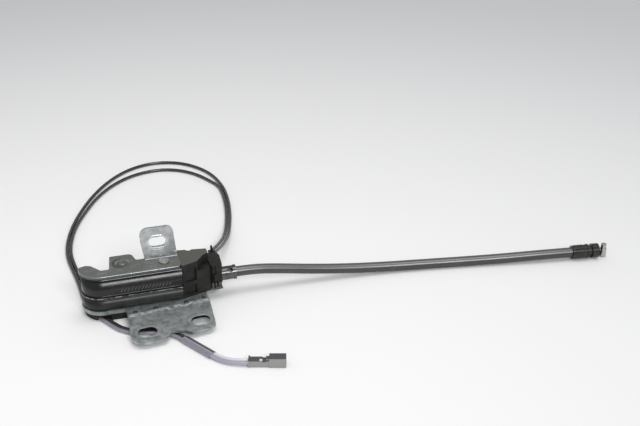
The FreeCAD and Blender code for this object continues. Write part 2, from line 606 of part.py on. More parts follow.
def shelf_outline(inset):
    """Plan of the rear housing's lower, deeper part."""
    return [
        (BODY_END_X, FRONT_Y + CASING_INSET + inset, 0.6), (49.0 - inset * 0.4, -10.6 + inset, 2.0),
        (HOUSING_END_X - inset, -8.2 + inset, 1.0), (HOUSING_END_X - inset, 10.0 - inset, 2.0),
        (51.5 - inset, SHELF_BACK_Y - inset, 2.5), (BODY_END_X, SHELF_BACK_Y - inset, 0),
    ]


def make_rear_housing():
    """Moulded housing behind the body, open towards it, round the release lever and the switch."""
    shelf_top = Z_UPPER + MECHANISM_TALL + 1.2
    shell = prism(shelf_outline(0), Z_LOWER, shelf_top).fuse(prism(housing_outline(0), shelf_top, HOUSING_TOP_Z))
    room = prism(shelf_outline(WALL)[:-2] + [
        (51.5 - WALL, SHELF_BACK_Y - WALL, 2.0), (BODY_END_X - 1, SHELF_BACK_Y - WALL, 0),
        (BODY_END_X - 1, FRONT_Y + CASING_INSET + WALL, 0),
    ], Z_LOWER + WALL, shelf_top - 1.2)
    attic = prism(housing_outline(WALL)[1:-1] + [
        (BODY_END_X + WALL, 7.0, 0), (BODY_END_X + WALL, FRONT_Y + CASING_INSET + 2 * WALL, 0),
    ], shelf_top - 1.3, HOUSING_TOP_Z - WALL)
    shell = shell.cut(room).cut(attic)
    for low, high in ((Z_LOWER + 2.2, Z_MIDDLE - 0.2), (Z_UPPER + 1.4, HOUSING_TOP_Z - 4.5)):
        panel = box(0, 8.6, -2, 0.8, low, high)
        panel.rotate(V(0, 0, 0), UP, 20.3)
        panel.translate(V(BODY_END_X + 1.9, FRONT_Y + CASING_INSET + 0.75, 0))
        shell = shell.cut(panel)
    shell = shell.cut(Part.makeCylinder(INNER_WIRE_RADIUS + 0.5, 12, V(HOUSING_END_X - 6, CABLE_Y, CABLE_Z), V(1, 0, 0)))
    seat = post(LEVER_X, LEVER_Y, Z_LOWER + WALL, Z_UPPER - 0.9, LEVER_PIN_RADIUS + 1.6)
    shell = shell.fuse(seat).removeSplitter()
    shell = shell.cut(post(LEVER_X, LEVER_Y, Z_LOWER + WALL, 60, LEVER_PIN_RADIUS))
    exits = [Part.makeCylinder(LEAD_RADIUS + 0.3, 6, V(x, 8.5, 20.0), V(0, 1, 0)) for x in (52.5, 55.5)]
    return shell.cut(exits[0].fuse(exits[1]))


def make_lever_pin():
    """Steel pin that the release lever turns on, headed above it."""
    lever_high = Z_UPPER + (MECHANISM_TALL - FORK_STEEL_THICK) / 2 - 0.3 - 0.9 + LEVER_THICK + 1.0
    pin = post(LEVER_X, LEVER_Y, Z_LOWER + WALL, lever_high + RUNNING_GAP, LEVER_PIN_RADIUS)
    return pin.fuse(post(LEVER_X, LEVER_Y, lever_high + RUNNING_GAP, lever_high + 1.2, 3.2)).removeSplitter()


def make_cable_block():
    """Block that grips the release cable's ferrule and lets the switch lead out at its back."""
    block = prism([
        (BLOCK_START_X, BLOCK_FRONT_Y + 3.0, 0), (BLOCK_START_X + 2.2, BLOCK_FRONT_Y, 0.8),
        (BLOCK_END_X - 1.0, BLOCK_FRONT_Y + 1.2, 1.5), (BLOCK_END_X, 4.0, 2.0),
        (BLOCK_END_X - 1.2, BLOCK_BACK_Y, 1.0), (BLOCK_START_X, BLOCK_BACK_Y, 0),
    ], BLOCK_LOW_Z, BLOCK_HIGH_Z)
    bevel = box(-1, 12, -12, 0, 0, 12)
    bevel.rotate(V(0, 0, 0), V(1, 0, 0), -32)
    bevel.translate(V(BLOCK_START_X, BLOCK_FRONT_Y + 6.5, BLOCK_HIGH_Z))
    block = block.cut(bevel)
    step = box(BLOCK_START_X - 1, BLOCK_START_X + 3.6, BLOCK_FRONT_Y - 1, BLOCK_FRONT_Y + 1.5,
               CABLE_Z + 4.0, BLOCK_HIGH_Z + 1)
    block = block.cut(step)
    relief = prism([
        (-1, -1, 0), (5.6, -1, 0), (0, 4.8, 0), (-1, 4.8, 0),
    ], BLOCK_START_X - 1, BLOCK_END_X + 1)
    relief.rotate(V(0, 0, 0), V(1, 1, 1), 120)
    relief.translate(V(0, BLOCK_FRONT_Y, BLOCK_LOW_Z))
    block = block.cut(relief)
    seat = Part.makeCylinder(FERRULE_RADIUS, 20, V(FERRULE_START_X, CABLE_Y, CABLE_Z), V(1, 0, 0))
    bore = Part.makeCylinder(INNER_WIRE_RADIUS + 0.5, 12, V(BLOCK_START_X - 1, CABLE_Y, CABLE_Z), V(1, 0, 0))
    block = block.cut(seat).cut(bore)
    for x in (61.6, 65.0):
        block = block.cut(Part.makeCylinder(LEAD_RADIUS + 0.9, 6, V(x, BLOCK_BACK_Y - 4, 20.0), V(0, 1, 0)))
    return block


def make_lead_grommet():
    """Soft seal in the block's back that both leads come out of."""
    plugs = []
    for x in (61.6, 65.0):
        ring = Part.makeCylinder(LEAD_RADIUS + 0.9, 4.9, V(x, BLOCK_BACK_Y - 4, 20.0), V(0, 1, 0))
        plugs.append(ring)
    plate = box(59.4, 67.0, BLOCK_BACK_Y, BLOCK_BACK_Y + 0.9, 17.6, 22.4)
    return plate.fuse(plugs).removeSplitter()


def make_snap_clip():
    """Spring steel clip on the plate's tongue, whose upright fingers hold the block from below."""
    x = BLOCK_START_X + 0.4
    low = Z_LOWER
    base = box(x, x + 7.6, BLOCK_FRONT_Y + 2.2, 1.0, low, low + 0.8)
    fingers = []
    for dx, width, dy in ((0.2, 1.2, 2.2), (2.6, 0.9, 2.2), (4.8, 1.5, 2.2), (6.9, 0.7, 5.9)):
        top = BLOCK_LOW_Z + (1.6 if dy < 5.0 else 0.0)
        fingers.append(box(x + dx, x + dx + width, BLOCK_FRONT_Y + dy, BLOCK_FRONT_Y + dy + 0.8, low, top))
    hook = box(x + 2.6, x + 6.3, BLOCK_FRONT_Y + 1.4, BLOCK_FRONT_Y + 2.3, low + 1.6, low + 2.4)
    return base.fuse(fingers + [hook]).removeSplitter()


def make_cable_tie():
    """Strap round the two leads where they leave the block, with its locking head on top."""
    x, y, z = 63.3, 15.6, 20.0
    outer = stadium(8.0, 4.6, 0, 3.0)
    inner = stadium(6.2, 2.8, -1, 4.0)
    band = outer.cut(inner)
    head = box(-2.3, 2.3, 1.8, 5.4, -0.4, 3.4)
    tail = box(-0.6, 0.4, 5.0, 9.4, 0.2, 2.8)
    tie = band.fuse([head, tail]).removeSplitter()
    tie.rotate(V(0, 0, 0), V(1, 0, 0), 90)
    tie.translate(V(x, y, z))
    return tie


def make_block_ferrule():
    """Crimped steel ferrule on the sheath, seated in the block, with one crimp hole."""
    length = FERRULE_END_X - FERRULE_START_X
    body = Part.makeCylinder(FERRULE_RADIUS, length, V(FERRULE_START_X, CABLE_Y, CABLE_Z), V(1, 0, 0))
    collar = Part.makeCylinder(FERRULE_COLLAR_RADIUS, 1.6, V(FERRULE_END_X - 1.6, CABLE_Y, CABLE_Z), V(1, 0, 0))
    body = body.fuse(collar).removeSplitter()
    bore = Part.makeCylinder(INNER_WIRE_RADIUS + 0.5, length, V(FERRULE_START_X, CABLE_Y, CABLE_Z), V(1, 0, 0))
    hole_at = V(FERRULE_END_X - 4.0, CABLE_Y - 1.6, CABLE_Z + 1.8)
    hole = Part.makeCylinder(1.7, 6, hole_at, V(0, -0.62, 0.78))
    return body.cut(bore).cut(hole)


def make_latch_core():
    """Inner cable at the latch end."""
    half = math.radians(LEVER_TRAVEL / 2)
    start = LEVER_X - LEVER_ARM * math.sin(half)
    end = FERRULE_END_X - CORE_STROKE - 0.6
    return Part.makeCylinder(INNER_WIRE_RADIUS, end - start, V(start, CABLE_Y, CABLE_Z), V(1, 0, 0))


def make_latch_nipple(core):
    """Nipple that the release lever's slot carries, standing up from the inner cable."""
    half = math.radians(LEVER_TRAVEL / 2)
    x = LEVER_X - LEVER_ARM * math.sin(half)
    return post(x, CABLE_Y, CABLE_Z - 1.8, Z_UPPER + 4.4, LATCH_NIPPLE_RADIUS).cut(core)


def tube(route, radius, name):
    """Free cord: straight runs joined by the largest arcs that the runs allow."""
    points = [V(*p) for p in route]
    edges = []
    radii = []
    at = points[0]
    for before, here, after in zip(points, points[1:], points[2:]):
        back = (before - here)
        ahead = (after - here)
        shorter = min(back.Length, ahead.Length)
        back.normalize()
        ahead.normalize()
        half = (math.pi - back.getAngle(ahead)) / 2
        bend = 0.45 * shorter / math.tan(half)
        radii.append(bend)
        start = here + back * (0.45 * shorter)
        end = here + ahead * (0.45 * shorter)
        middle = (back + ahead).normalize()
        peak = here + middle * (bend / math.cos(half) - bend)
        edges.append(Part.LineSegment(at, start).toShape())
        edges.append(Part.Arc(start, peak, end).toShape())
        at = end
    edges.append(Part.LineSegment(at, points[-1]).toShape())
    path = Part.Wire(edges)
    section = Part.Wire(Part.makeCircle(radius, points[0], points[1] - points[0]))
    solid = path.makePipeShell([section], True, False)
    ratio = solid.Volume / (math.pi * radius ** 2 * path.Length)
    print(f"{name}: length {path.Length:.1f}, smallest radius {min(radii):.1f}, volume ratio {ratio:.3f}")
    return solid


def far_frame(shape):
    """Place a shape drawn along X from the far ferrule's inner end."""
    shape.rotate(V(0, 0, 0), UP, FAR_YAW)
    shape.translate(V(*CABLE_ROUTE[-1]))
    return shape


def make_end_ferrule():
    """Turned end fitting: sleeve, snap-in neck and flange, bored for the inner cable."""
    sleeve = Part.makeCylinder(FAR_FERRULE_RADIUS - 0.3, FAR_SLEEVE_LENGTH, V(0, 0, 0), V(1, 0, 0))
    collar = Part.makeCylinder(FAR_FERRULE_RADIUS, 1.2, V(FAR_SLEEVE_LENGTH - 1.2, 0, 0), V(1, 0, 0))
    neck = Part.makeCylinder(FAR_NECK_RADIUS, FAR_NECK_LENGTH, V(FAR_SLEEVE_LENGTH, 0, 0), V(1, 0, 0))
    flange = Part.makeCylinder(FAR_FERRULE_RADIUS, FAR_FLANGE_LENGTH, V(FAR_SLEEVE_LENGTH + FAR_NECK_LENGTH, 0, 0),
                               V(1, 0, 0))
    total = FAR_SLEEVE_LENGTH + FAR_NECK_LENGTH + FAR_FLANGE_LENGTH
    bore = Part.makeCylinder(INNER_WIRE_RADIUS + 0.5, total + 2, V(-1, 0, 0), V(1, 0, 0))
    return far_frame(sleeve.fuse([collar, neck, flange]).removeSplitter().cut(bore))


def barrel_place():
    """Distance of the barrel's axis from the far ferrule's inner end."""
    return FAR_SLEEVE_LENGTH + FAR_NECK_LENGTH + FAR_FLANGE_LENGTH + BARREL_RADIUS + BARREL_GAP


def make_barrel():
    """Cross barrel that hooks into the release handle."""
    low = -BARREL_TALL / 2
    shoulder = BARREL_TALL / 2 - TRUNNION_TALL
    body = Part.makeCylinder(BARREL_RADIUS, shoulder - low, V(barrel_place(), 0, low), UP)
    trunnion = Part.makeCylinder(TRUNNION_RADIUS, TRUNNION_TALL, V(barrel_place(), 0, shoulder), UP)
    barrel = body.fuse(trunnion).removeSplitter()
    ends = [e for e in barrel.Edges if e.BoundBox.ZLength < 0.01 and abs(abs(e.BoundBox.ZMin) - BARREL_TALL / 2) < 0.01]
    return far_frame(barrel.makeChamfer(0.4, ends))


def make_far_core(barrel):
    """Inner cable at the far end, from inside the ferrule to the barrel."""
    start = 1.0
    rod = Part.makeCylinder(INNER_WIRE_RADIUS, barrel_place() - start, V(start, 0, 0), V(1, 0, 0))
    return far_frame(rod).cut(barrel)


def plug_frame(shape):
    """Place a shape drawn along the plug, with its rear at X = 0 and its near side at Y = 0."""
    shape.rotate(V(0, 0, 0), UP, PLUG_YAW)
    shape.translate(V(PLUG_X, PLUG_Y, 0))
    return shape


def make_plug_housing():
    """Two-way plug: low rear half for the wires and a taller front half with two cavities."""
    inset = (PLUG_WIDTH - PLUG_REAR_WIDTH) / 2
    rear = box(0, PLUG_REAR_LENGTH, inset, PLUG_WIDTH - inset, 0, PLUG_REAR_TALL)
    front = box(PLUG_REAR_LENGTH, PLUG_REAR_LENGTH + PLUG_FRONT_LENGTH, 0, PLUG_WIDTH, 0, PLUG_TALL)
    lip = box(0, 0.9, inset - 0.4, PLUG_WIDTH - inset + 0.4, 0, PLUG_REAR_TALL + 0.6)
    body = rear.fuse([front, lip]).removeSplitter()
    end = PLUG_REAR_LENGTH + PLUG_FRONT_LENGTH
    for side in (-1, 1):
        y = PLUG_WIDTH / 2 + side * 1.45
        body = body.cut(box(PLUG_REAR_LENGTH + 2.0, end + 1, y - 1.1, y + 1.1, 1.6, 5.0))
        body = body.cut(box(1.2, PLUG_REAR_LENGTH + 2.1, y - 1.1, y + 1.1, 1.2, 3.2))
    body = body.cut(box(PLUG_REAR_LENGTH - 4.2, PLUG_REAR_LENGTH - 2.0, -1, PLUG_WIDTH + 1, PLUG_REAR_TALL - 0.6, 9))
    return plug_frame(body)


def make_plug_terminals():
    """Two brass terminals in the plug's cavities."""
    solids = []
    for side in (-1, 1):
        y = PLUG_WIDTH / 2 + side * 1.45
        solids.append(box(PLUG_REAR_LENGTH - 3.0, PLUG_REAR_LENGTH + 2.0, y - 0.8, y + 0.8, 1.25, 2.6))
        solids[-1] = solids[-1].fuse(box(PLUG_REAR_LENGTH + 2.0, PLUG_REAR_LENGTH + PLUG_FRONT_LENGTH - 0.8,
                                         y - 0.9, y + 0.9, 1.65, 3.6)).removeSplitter()
    return plug_frame(Part.makeCompound(solids))


def make_plug_latch():
    """Sprung tongue on top of the plug that locks it to its socket."""
    tongue = box(PLUG_REAR_LENGTH - 1.9, PLUG_REAR_LENGTH, PLUG_WIDTH / 2 - 1.6, PLUG_WIDTH / 2 + 1.6,
                 PLUG_REAR_TALL, PLUG_REAR_TALL + 1.2)
    return plug_frame(tongue)


def make_lead_sleeve():
    """Short soft tube that ties the two leads together before the plug."""
    sleeve = stadium(6.3, 3.2, 0, SLEEVE_LENGTH)
    sleeve.rotate(V(0, 0, 0), UP, 90)
    sleeve.rotate(V(0, 0, 0), V(0, 1, 0), 90)
    sleeve.rotate(V(0, 0, 0), UP, SLEEVE_YAW)
    sleeve.translate(V(SLEEVE_X, SLEEVE_Y, LEAD_RADIUS + 0.52))
    for route in (GREY_ROUTE, BLACK_ROUTE):
        sleeve = sleeve.cut(tube(route[-7:-1], LEAD_RADIUS + SLIP, "sleeve bore"))
    return sleeve


def make_microswitch():
    """Small switch that the release lever works, standing in the rear housing."""
    return box(52.0, 56.2, 0.2, 7.4, Z_MIDDLE + 0.6, Z_UPPER + MECHANISM_TALL - 0.4).cut(
        Part.makeCylinder(1.0, 3.0, V(51.9, 5.6, 20.0), V(1, 0, 0)))


def make_switch_plunger():
    """Button of the switch, with a rounded tip against the release lever."""
    stem = Part.makeCylinder(0.9, 2.9, V(50.4, 5.6, 20.0), V(1, 0, 0))
    return stem.fuse(Part.makeSphere(0.9, V(50.4, 5.6, 20.0))).removeSplitter()


def main():
    """Build every piece and write it under its own name."""
    steel = make_fork_steel()
    core = make_latch_core()
    barrel = make_barrel()
    roof = Z_UPPER + MECHANISM_TALL
    pieces = {
        "top_plate": make_top_plate(),
        "upper_casing": make_upper_casing(),
        "middle_plate": make_middle_plate(),
        "lower_casing": make_lower_casing(),
        "bottom_plate": make_bottom_plate(),
        "bottom_cover": make_bottom_cover(),
        "rear_housing": make_rear_housing(),
        "cable_block": make_cable_block(),
        "lead_grommet": make_lead_grommet(),
        "snap_clip": make_snap_clip(),
        "cable_tie": make_cable_tie(),
        "fork_rivet": make_rivet(0, 0),
        "pawl_rivet": make_rivet(PAWL_X, PAWL_Y),
        "fork_claw": steel,
        "fork_jacket": make_fork_jacket(steel),
        "fork_spring": coil(0, 0, roof + 0.2, 5.1, 1.0, 3),
        "pawl": make_pawl(),
        "pawl_spring": coil(PAWL_X, PAWL_Y, roof + 0.2, 5.4, 1.0, 3),
        "release_lever": make_release_lever(),
        "lever_pin": make_lever_pin(),
        "striker_buffer": make_striker_buffer(),
        "latch_core": core,
        "latch_nipple": make_latch_nipple(core),
        "block_ferrule": make_block_ferrule(),
        "release_cable": tube(CABLE_ROUTE, SHEATH_RADIUS, "release_cable"),
        "end_ferrule": make_end_ferrule(),
        "end_core": make_far_core(barrel),
        "end_barrel": barrel,
        "microswitch": make_microswitch(),
        "switch_plunger": make_switch_plunger(),
        "grey_lead": tube(GREY_ROUTE, LEAD_RADIUS, "grey_lead"),
        "black_lead": tube(BLACK_ROUTE, LEAD_RADIUS, "black_lead"),
        "lead_sleeve": make_lead_sleeve(),
        "plug_housing": make_plug_housing(),
        "plug_terminals": make_plug_terminals(),
        "plug_latch": make_plug_latch(),
    }
    for name, shape in pieces.items():
        shape.exportStep(f"parts/{name}.step")
        print(f"{name}: {len(shape.Solids)} solid(s), {shape.Volume:.0f} mm3, valid {shape.isValid()}")


main()
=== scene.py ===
"""Looks of a claw door latch with its release cable and switch lead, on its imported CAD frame.

Everything is in metres, in the frame's axes: +X runs along the body towards the release cable,
+Y is the side that the striker enters from, and +Z is up from the face that the latch lies on.
"""

import json
import logging
import math
from dataclasses import dataclass, field
from enum import Enum

import bpy
import numpy as np
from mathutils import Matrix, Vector

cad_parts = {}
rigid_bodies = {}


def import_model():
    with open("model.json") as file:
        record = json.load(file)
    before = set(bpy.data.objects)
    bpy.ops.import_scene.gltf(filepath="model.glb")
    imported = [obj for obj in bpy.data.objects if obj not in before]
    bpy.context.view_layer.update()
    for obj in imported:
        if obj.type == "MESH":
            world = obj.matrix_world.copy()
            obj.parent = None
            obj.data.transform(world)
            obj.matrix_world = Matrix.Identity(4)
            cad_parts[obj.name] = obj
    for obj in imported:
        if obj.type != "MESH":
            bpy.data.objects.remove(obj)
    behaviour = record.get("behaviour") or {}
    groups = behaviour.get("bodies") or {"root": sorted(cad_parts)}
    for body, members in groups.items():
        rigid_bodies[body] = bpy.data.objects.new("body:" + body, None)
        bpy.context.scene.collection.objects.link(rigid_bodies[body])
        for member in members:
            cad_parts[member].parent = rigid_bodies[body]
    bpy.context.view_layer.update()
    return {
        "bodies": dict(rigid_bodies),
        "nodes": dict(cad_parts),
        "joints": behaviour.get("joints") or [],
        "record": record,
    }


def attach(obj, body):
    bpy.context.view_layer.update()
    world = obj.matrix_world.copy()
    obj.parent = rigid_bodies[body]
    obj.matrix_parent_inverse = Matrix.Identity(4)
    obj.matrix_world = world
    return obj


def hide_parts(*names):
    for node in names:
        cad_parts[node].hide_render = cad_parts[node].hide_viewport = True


LOG = logging.getLogger("latch_scene")
MM = 0.001
IMAGE_WIDTH = 640
BODY = "body"

CABLE_DIAMETER = 7.2 * MM
CABLE_ROUTE = (
    (0.076, -0.0034, 0.0165), (0.089, -0.0034, 0.0165), (0.107, -0.0035, 0.0138), (0.131, -0.0038, 0.0095),
    (0.157, -0.0049, 0.0061), (0.184, -0.0073, 0.0043), (0.212, -0.0109, 0.00375),
    (0.242, -0.0157, 0.00365), (0.271, -0.0208, 0.0041), (0.299, -0.026, 0.0053), (0.3225, -0.0292, 0.0053),
)
LEAD_DIAMETER = 2.5 * MM
GREY_LENGTH = 646.3 * MM
GREY_ROUTE = (
    (0.065, 0.0099, 0.02), (0.065, 0.018, 0.02), (0.0696, 0.029, 0.0166), (0.0772, 0.045, 0.0113),
    (0.0869, 0.07, 0.0047), (0.0939, 0.0961, 0.0013), (0.0991, 0.1199, 0.0013), (0.1023, 0.1437, 0.0013),
    (0.1029, 0.1654, 0.0013), (0.0993, 0.1893, 0.0013), (0.0904, 0.2081, 0.0013), (0.0771, 0.2221, 0.0013),
    (0.0602, 0.2283, 0.0013), (0.0434, 0.2264, 0.0013), (0.0264, 0.2167, 0.0013), (0.0108, 0.1998, 0.0013),
    (-0.0033, 0.1776, 0.0013), (-0.0151, 0.1526, 0.0013), (-0.0244, 0.1274, 0.0013),
    (-0.0304, 0.1029, 0.0013), (-0.0325, 0.0825, 0.0013), (-0.0314, 0.066, 0.0013),
    (-0.0292, 0.049, 0.0013), (-0.0279, 0.033, 0.0013), (-0.0273, 0.019, 0.0013), (-0.0262, 0.0075, 0.0013),
    (-0.0234, -0.0028, 0.0013), (-0.019, -0.0114, 0.0013), (-0.0157, -0.0172, 0.0013),
    (-0.0122, -0.0242, 0.0013), (-0.0072, -0.0313, 0.0013), (0.0004, -0.0366, 0.0013),
    (0.01, -0.0393, 0.0013), (0.0184, -0.0424, 0.0013), (0.0249, -0.0472, 0.00175),
    (0.0322, -0.059, 0.00175), (0.0395, -0.0716, 0.00175), (0.0464, -0.0827, 0.00175),
    (0.05463, -0.08953, 0.0022), (0.06323, -0.09218, 0.0022),
)
BLACK_LENGTH = 612.0 * MM
BLACK_ROUTE = (
    (0.0616, 0.0099, 0.02), (0.0616, 0.0186, 0.02), (0.06641, 0.03044, 0.0168), (0.07425, 0.04624, 0.0118),
    (0.08405, 0.07093, 0.0049), (0.09108, 0.09679, 0.0013), (0.09634, 0.12039, 0.0013),
    (0.09951, 0.14393, 0.0013), (0.10001, 0.16521, 0.0013), (0.0954, 0.1767, 0.0013),
    (0.0868, 0.194, 0.0013), (0.0743, 0.2069, 0.0013), (0.0586, 0.2129, 0.0013), (0.0429, 0.2113, 0.0013),
    (0.0274, 0.2043, 0.0013), (0.0122, 0.1908, 0.0013), (-0.0011, 0.172, 0.0013),
    (-0.01141, 0.15105, 0.0013), (-0.02172, 0.12658, 0.0013), (-0.02764, 0.1024, 0.0013),
    (-0.0297, 0.08242, 0.0013), (-0.02861, 0.06627, 0.0013), (-0.02642, 0.0493, 0.0013),
    (-0.02511, 0.03318, 0.0013), (-0.02451, 0.01919, 0.0013), (-0.02344, 0.00799, 0.0013),
    (-0.02078, -0.0018, 0.0013), (-0.01653, -0.01008, 0.0013), (-0.01323, -0.01589, 0.0013),
    (-0.0098, -0.02275, 0.0013), (-0.00524, -0.0293, 0.0013), (0.00158, -0.03406, 0.0013),
    (0.01086, -0.03663, 0.0013), (0.01971, -0.03993, 0.0013), (0.02705, -0.04541, 0.00175),
    (0.0346, -0.05756, 0.00175), (0.0419, -0.07016, 0.00175), (0.04854, -0.08089, 0.00175),
    (0.05548, -0.08676, 0.0022), (0.06408, -0.08941, 0.0022),
)

# The tab stands on the line through TAB_FOOT, TAB_LEAN above the level; its slot is TAB_SLOT_UP along it
TAB_LEAN = math.radians(82.0)
TAB_FOOT = (1.8 * MM, 34.0 * MM)
TAB_SLOT_X = 24.6 * MM
TAB_SLOT_UP = 11.3 * MM
# Above this height, the top plate is only its tab
TAB_START_Z = 35.2 * MM
# The fold starts at FLANGE_CORNER and runs at FLANGE_YAW to the X axis
FLANGE_YAW = math.radians(6.5)
FLANGE_CORNER = (-1.4 * MM, -24.7 * MM, 7.6 * MM)

# Where marks on the plates, the sleeve and the plug are
EAR_RIVET = (0.0, 0.0, 0.0340)
PAWL_RIVET = (0.0271, -0.0060, 0.0340)
TAB_SLOT = (TAB_SLOT_X, 0.0, TAB_FOOT[1] + TAB_SLOT_UP * math.sin(TAB_LEAN))
FLANGE_SLOTS = ((0.0084, -0.0440, 0.0055), (0.0438, -0.0399, 0.0055))
FOLD_DARTS = ((0.0037, -0.0215), (0.0175, -0.0200), (0.0383, -0.0188), (0.0508, -0.0166))
FOLD_ACROSS = (-math.sin(FLANGE_YAW), math.cos(FLANGE_YAW), 0.0)
SLEEVE_MIDDLE = (0.0303, -0.0532, 0.0016)
SLEEVE_SIDE = (-0.862, -0.508, 0.0)
PLUG_START = (0.0627, -0.0939, 0.0)
PLUG_ALONG = (0.9558, -0.2940, 0.0)
PLUG_ACROSS = (-PLUG_ALONG[1], PLUG_ALONG[0], 0.0)
# Axis scales that measure a distance seen from above
FLATTENED = (1.0, 1.0, 0.0)
# Bands of the painted marks, in metres: where each starts and ends, and how far both ends fade
EAR_DARKENING = (0.0050, 0.0070, 0.0006)
RIVET_RING = (0.0040, 0.0046, 0.0003)
TAB_OVAL = (0.0042, 0.0054, 0.0004)
TAB_BEND = (TAB_START_Z, 0.0378, 0.0008)
WASHER_MARK = (0.0046, 0.0068, 0.0006)
WASHER_EDGE = (0.0070, 0.0076, 0.0003)
FOLD_HIGHLIGHT_BAND = (-0.0026, 0.0010, 0.0008)
PLATE_LINE = (0.0170, 0.0175, 0.0002)
SLEEVE_GLINT = (0.0, 0.0004, 0.0002)
PLUG_NOTCH = ((0.0070, 0.0088, 0.0002), (0.0010, 0.0034, 0.0002))


class Paint(Enum):
    """Colours of the marks that are laid over a finish, and of the white card, as sRGB hex strings."""

    GREASE = "#686a67"
    CUT_EDGE = "#5c6163"
    EDGE_RIM_HIGHLIGHT = "#b3b8ba"
    EAR_DARKENING = "#4b4d46"
    RIVET_RING = "#a2a59e"
    TAB_OVAL = "#e4e7e8"
    TAB_SHADE = "#808587"
    BEND_HIGHLIGHT = "#eceeee"
    DARK_CLOUD = "#878d8e"
    PALE_CLOUD = "#ccd0d0"
    PALE_SPECK = "#e0e4e4"
    DARK_SPECK = "#474c4e"
    WASHER_MARK = "#b0b6b6"
    WASHER_EDGE = "#565b5d"
    SLOT_WALL_SHADE = "#202222"
    FOLD_HIGHLIGHT = "#c4c8c7"
    DART_SHADE = "#3b3f41"
    RIDGE_HIGHLIGHT = "#6c6c6f"
    BARE_STEEL = "#b2b5b5"
    HOUSING_TOP_GREY = "#585953"
    GREY_AHEAD = "#85848f"
    GREY_END = "#a3a1b0"
    BLACK_END = "#dddbe6"
    SHEATH_HIGHLIGHT = "#73726f"
    SLEEVE = "#4e4f54"
    SLEEVE_SIDE = "#84828f"
    SLEEVE_GLINT = "#cfced8"
    PLUG_SIDE_LIGHT = "#939491"
    PLUG_MARK = "#d5d7d7"
    FAR_END_ZINC = "#b4b4b1"
    CARD_FRONT = "#fefefe"
    CARD_FALLOFF = "#c9cacc"


class Section(Enum):
    """Cross-section of a raised line."""

    ROUND = "round"
    FLAT = "flat"


@dataclass(frozen=True)
class Camera:
    """Where the photograph was taken from."""

    place: tuple = (-0.0517, -0.6206, 0.3815)
    tilt_degrees: float = 63.0
    turn_degrees: float = -17.0
    focal_pixels: float = 1050.0
    sensor_mm: float = 36.0


@dataclass(frozen=True)
class Softbox:
    """A rectangular lamp that faces a point; lengths are in metres."""

    name: str
    place: tuple
    size: tuple
    watts: float
    target: tuple


@dataclass(frozen=True)
class Finish:
    """Look of one real material.

    Attributes:
        name: what the real material is.
        tint: main colour, as an sRGB hex string.
        worn: colour of its darker or dustier patches.
        metallic: 1 for bare metal, 0 for plastics.
        smooth: lowest roughness.
        rough: highest roughness.
        patch_mm: size of the colour patches.
        patch_share: how much of the surface the patches take, from 0 to 1.
        grain_mm: size of the finest relief, drawn coarser where the real grain is too fine to show.
        relief_mm: height of that relief.
        stretch: how much longer the grain is along X than across it.
        shine: how strongly a plastic's skin mirrors, 0.5 for a common one.
    """

    name: str
    tint: str
    worn: str
    metallic: float = 0.0
    smooth: float = 0.3
    rough: float = 0.5
    patch_mm: float = 6.0
    patch_share: float = 0.4
    grain_mm: float = 0.3
    relief_mm: float = 0.01
    stretch: float = 1.0
    shine: float = 0.5


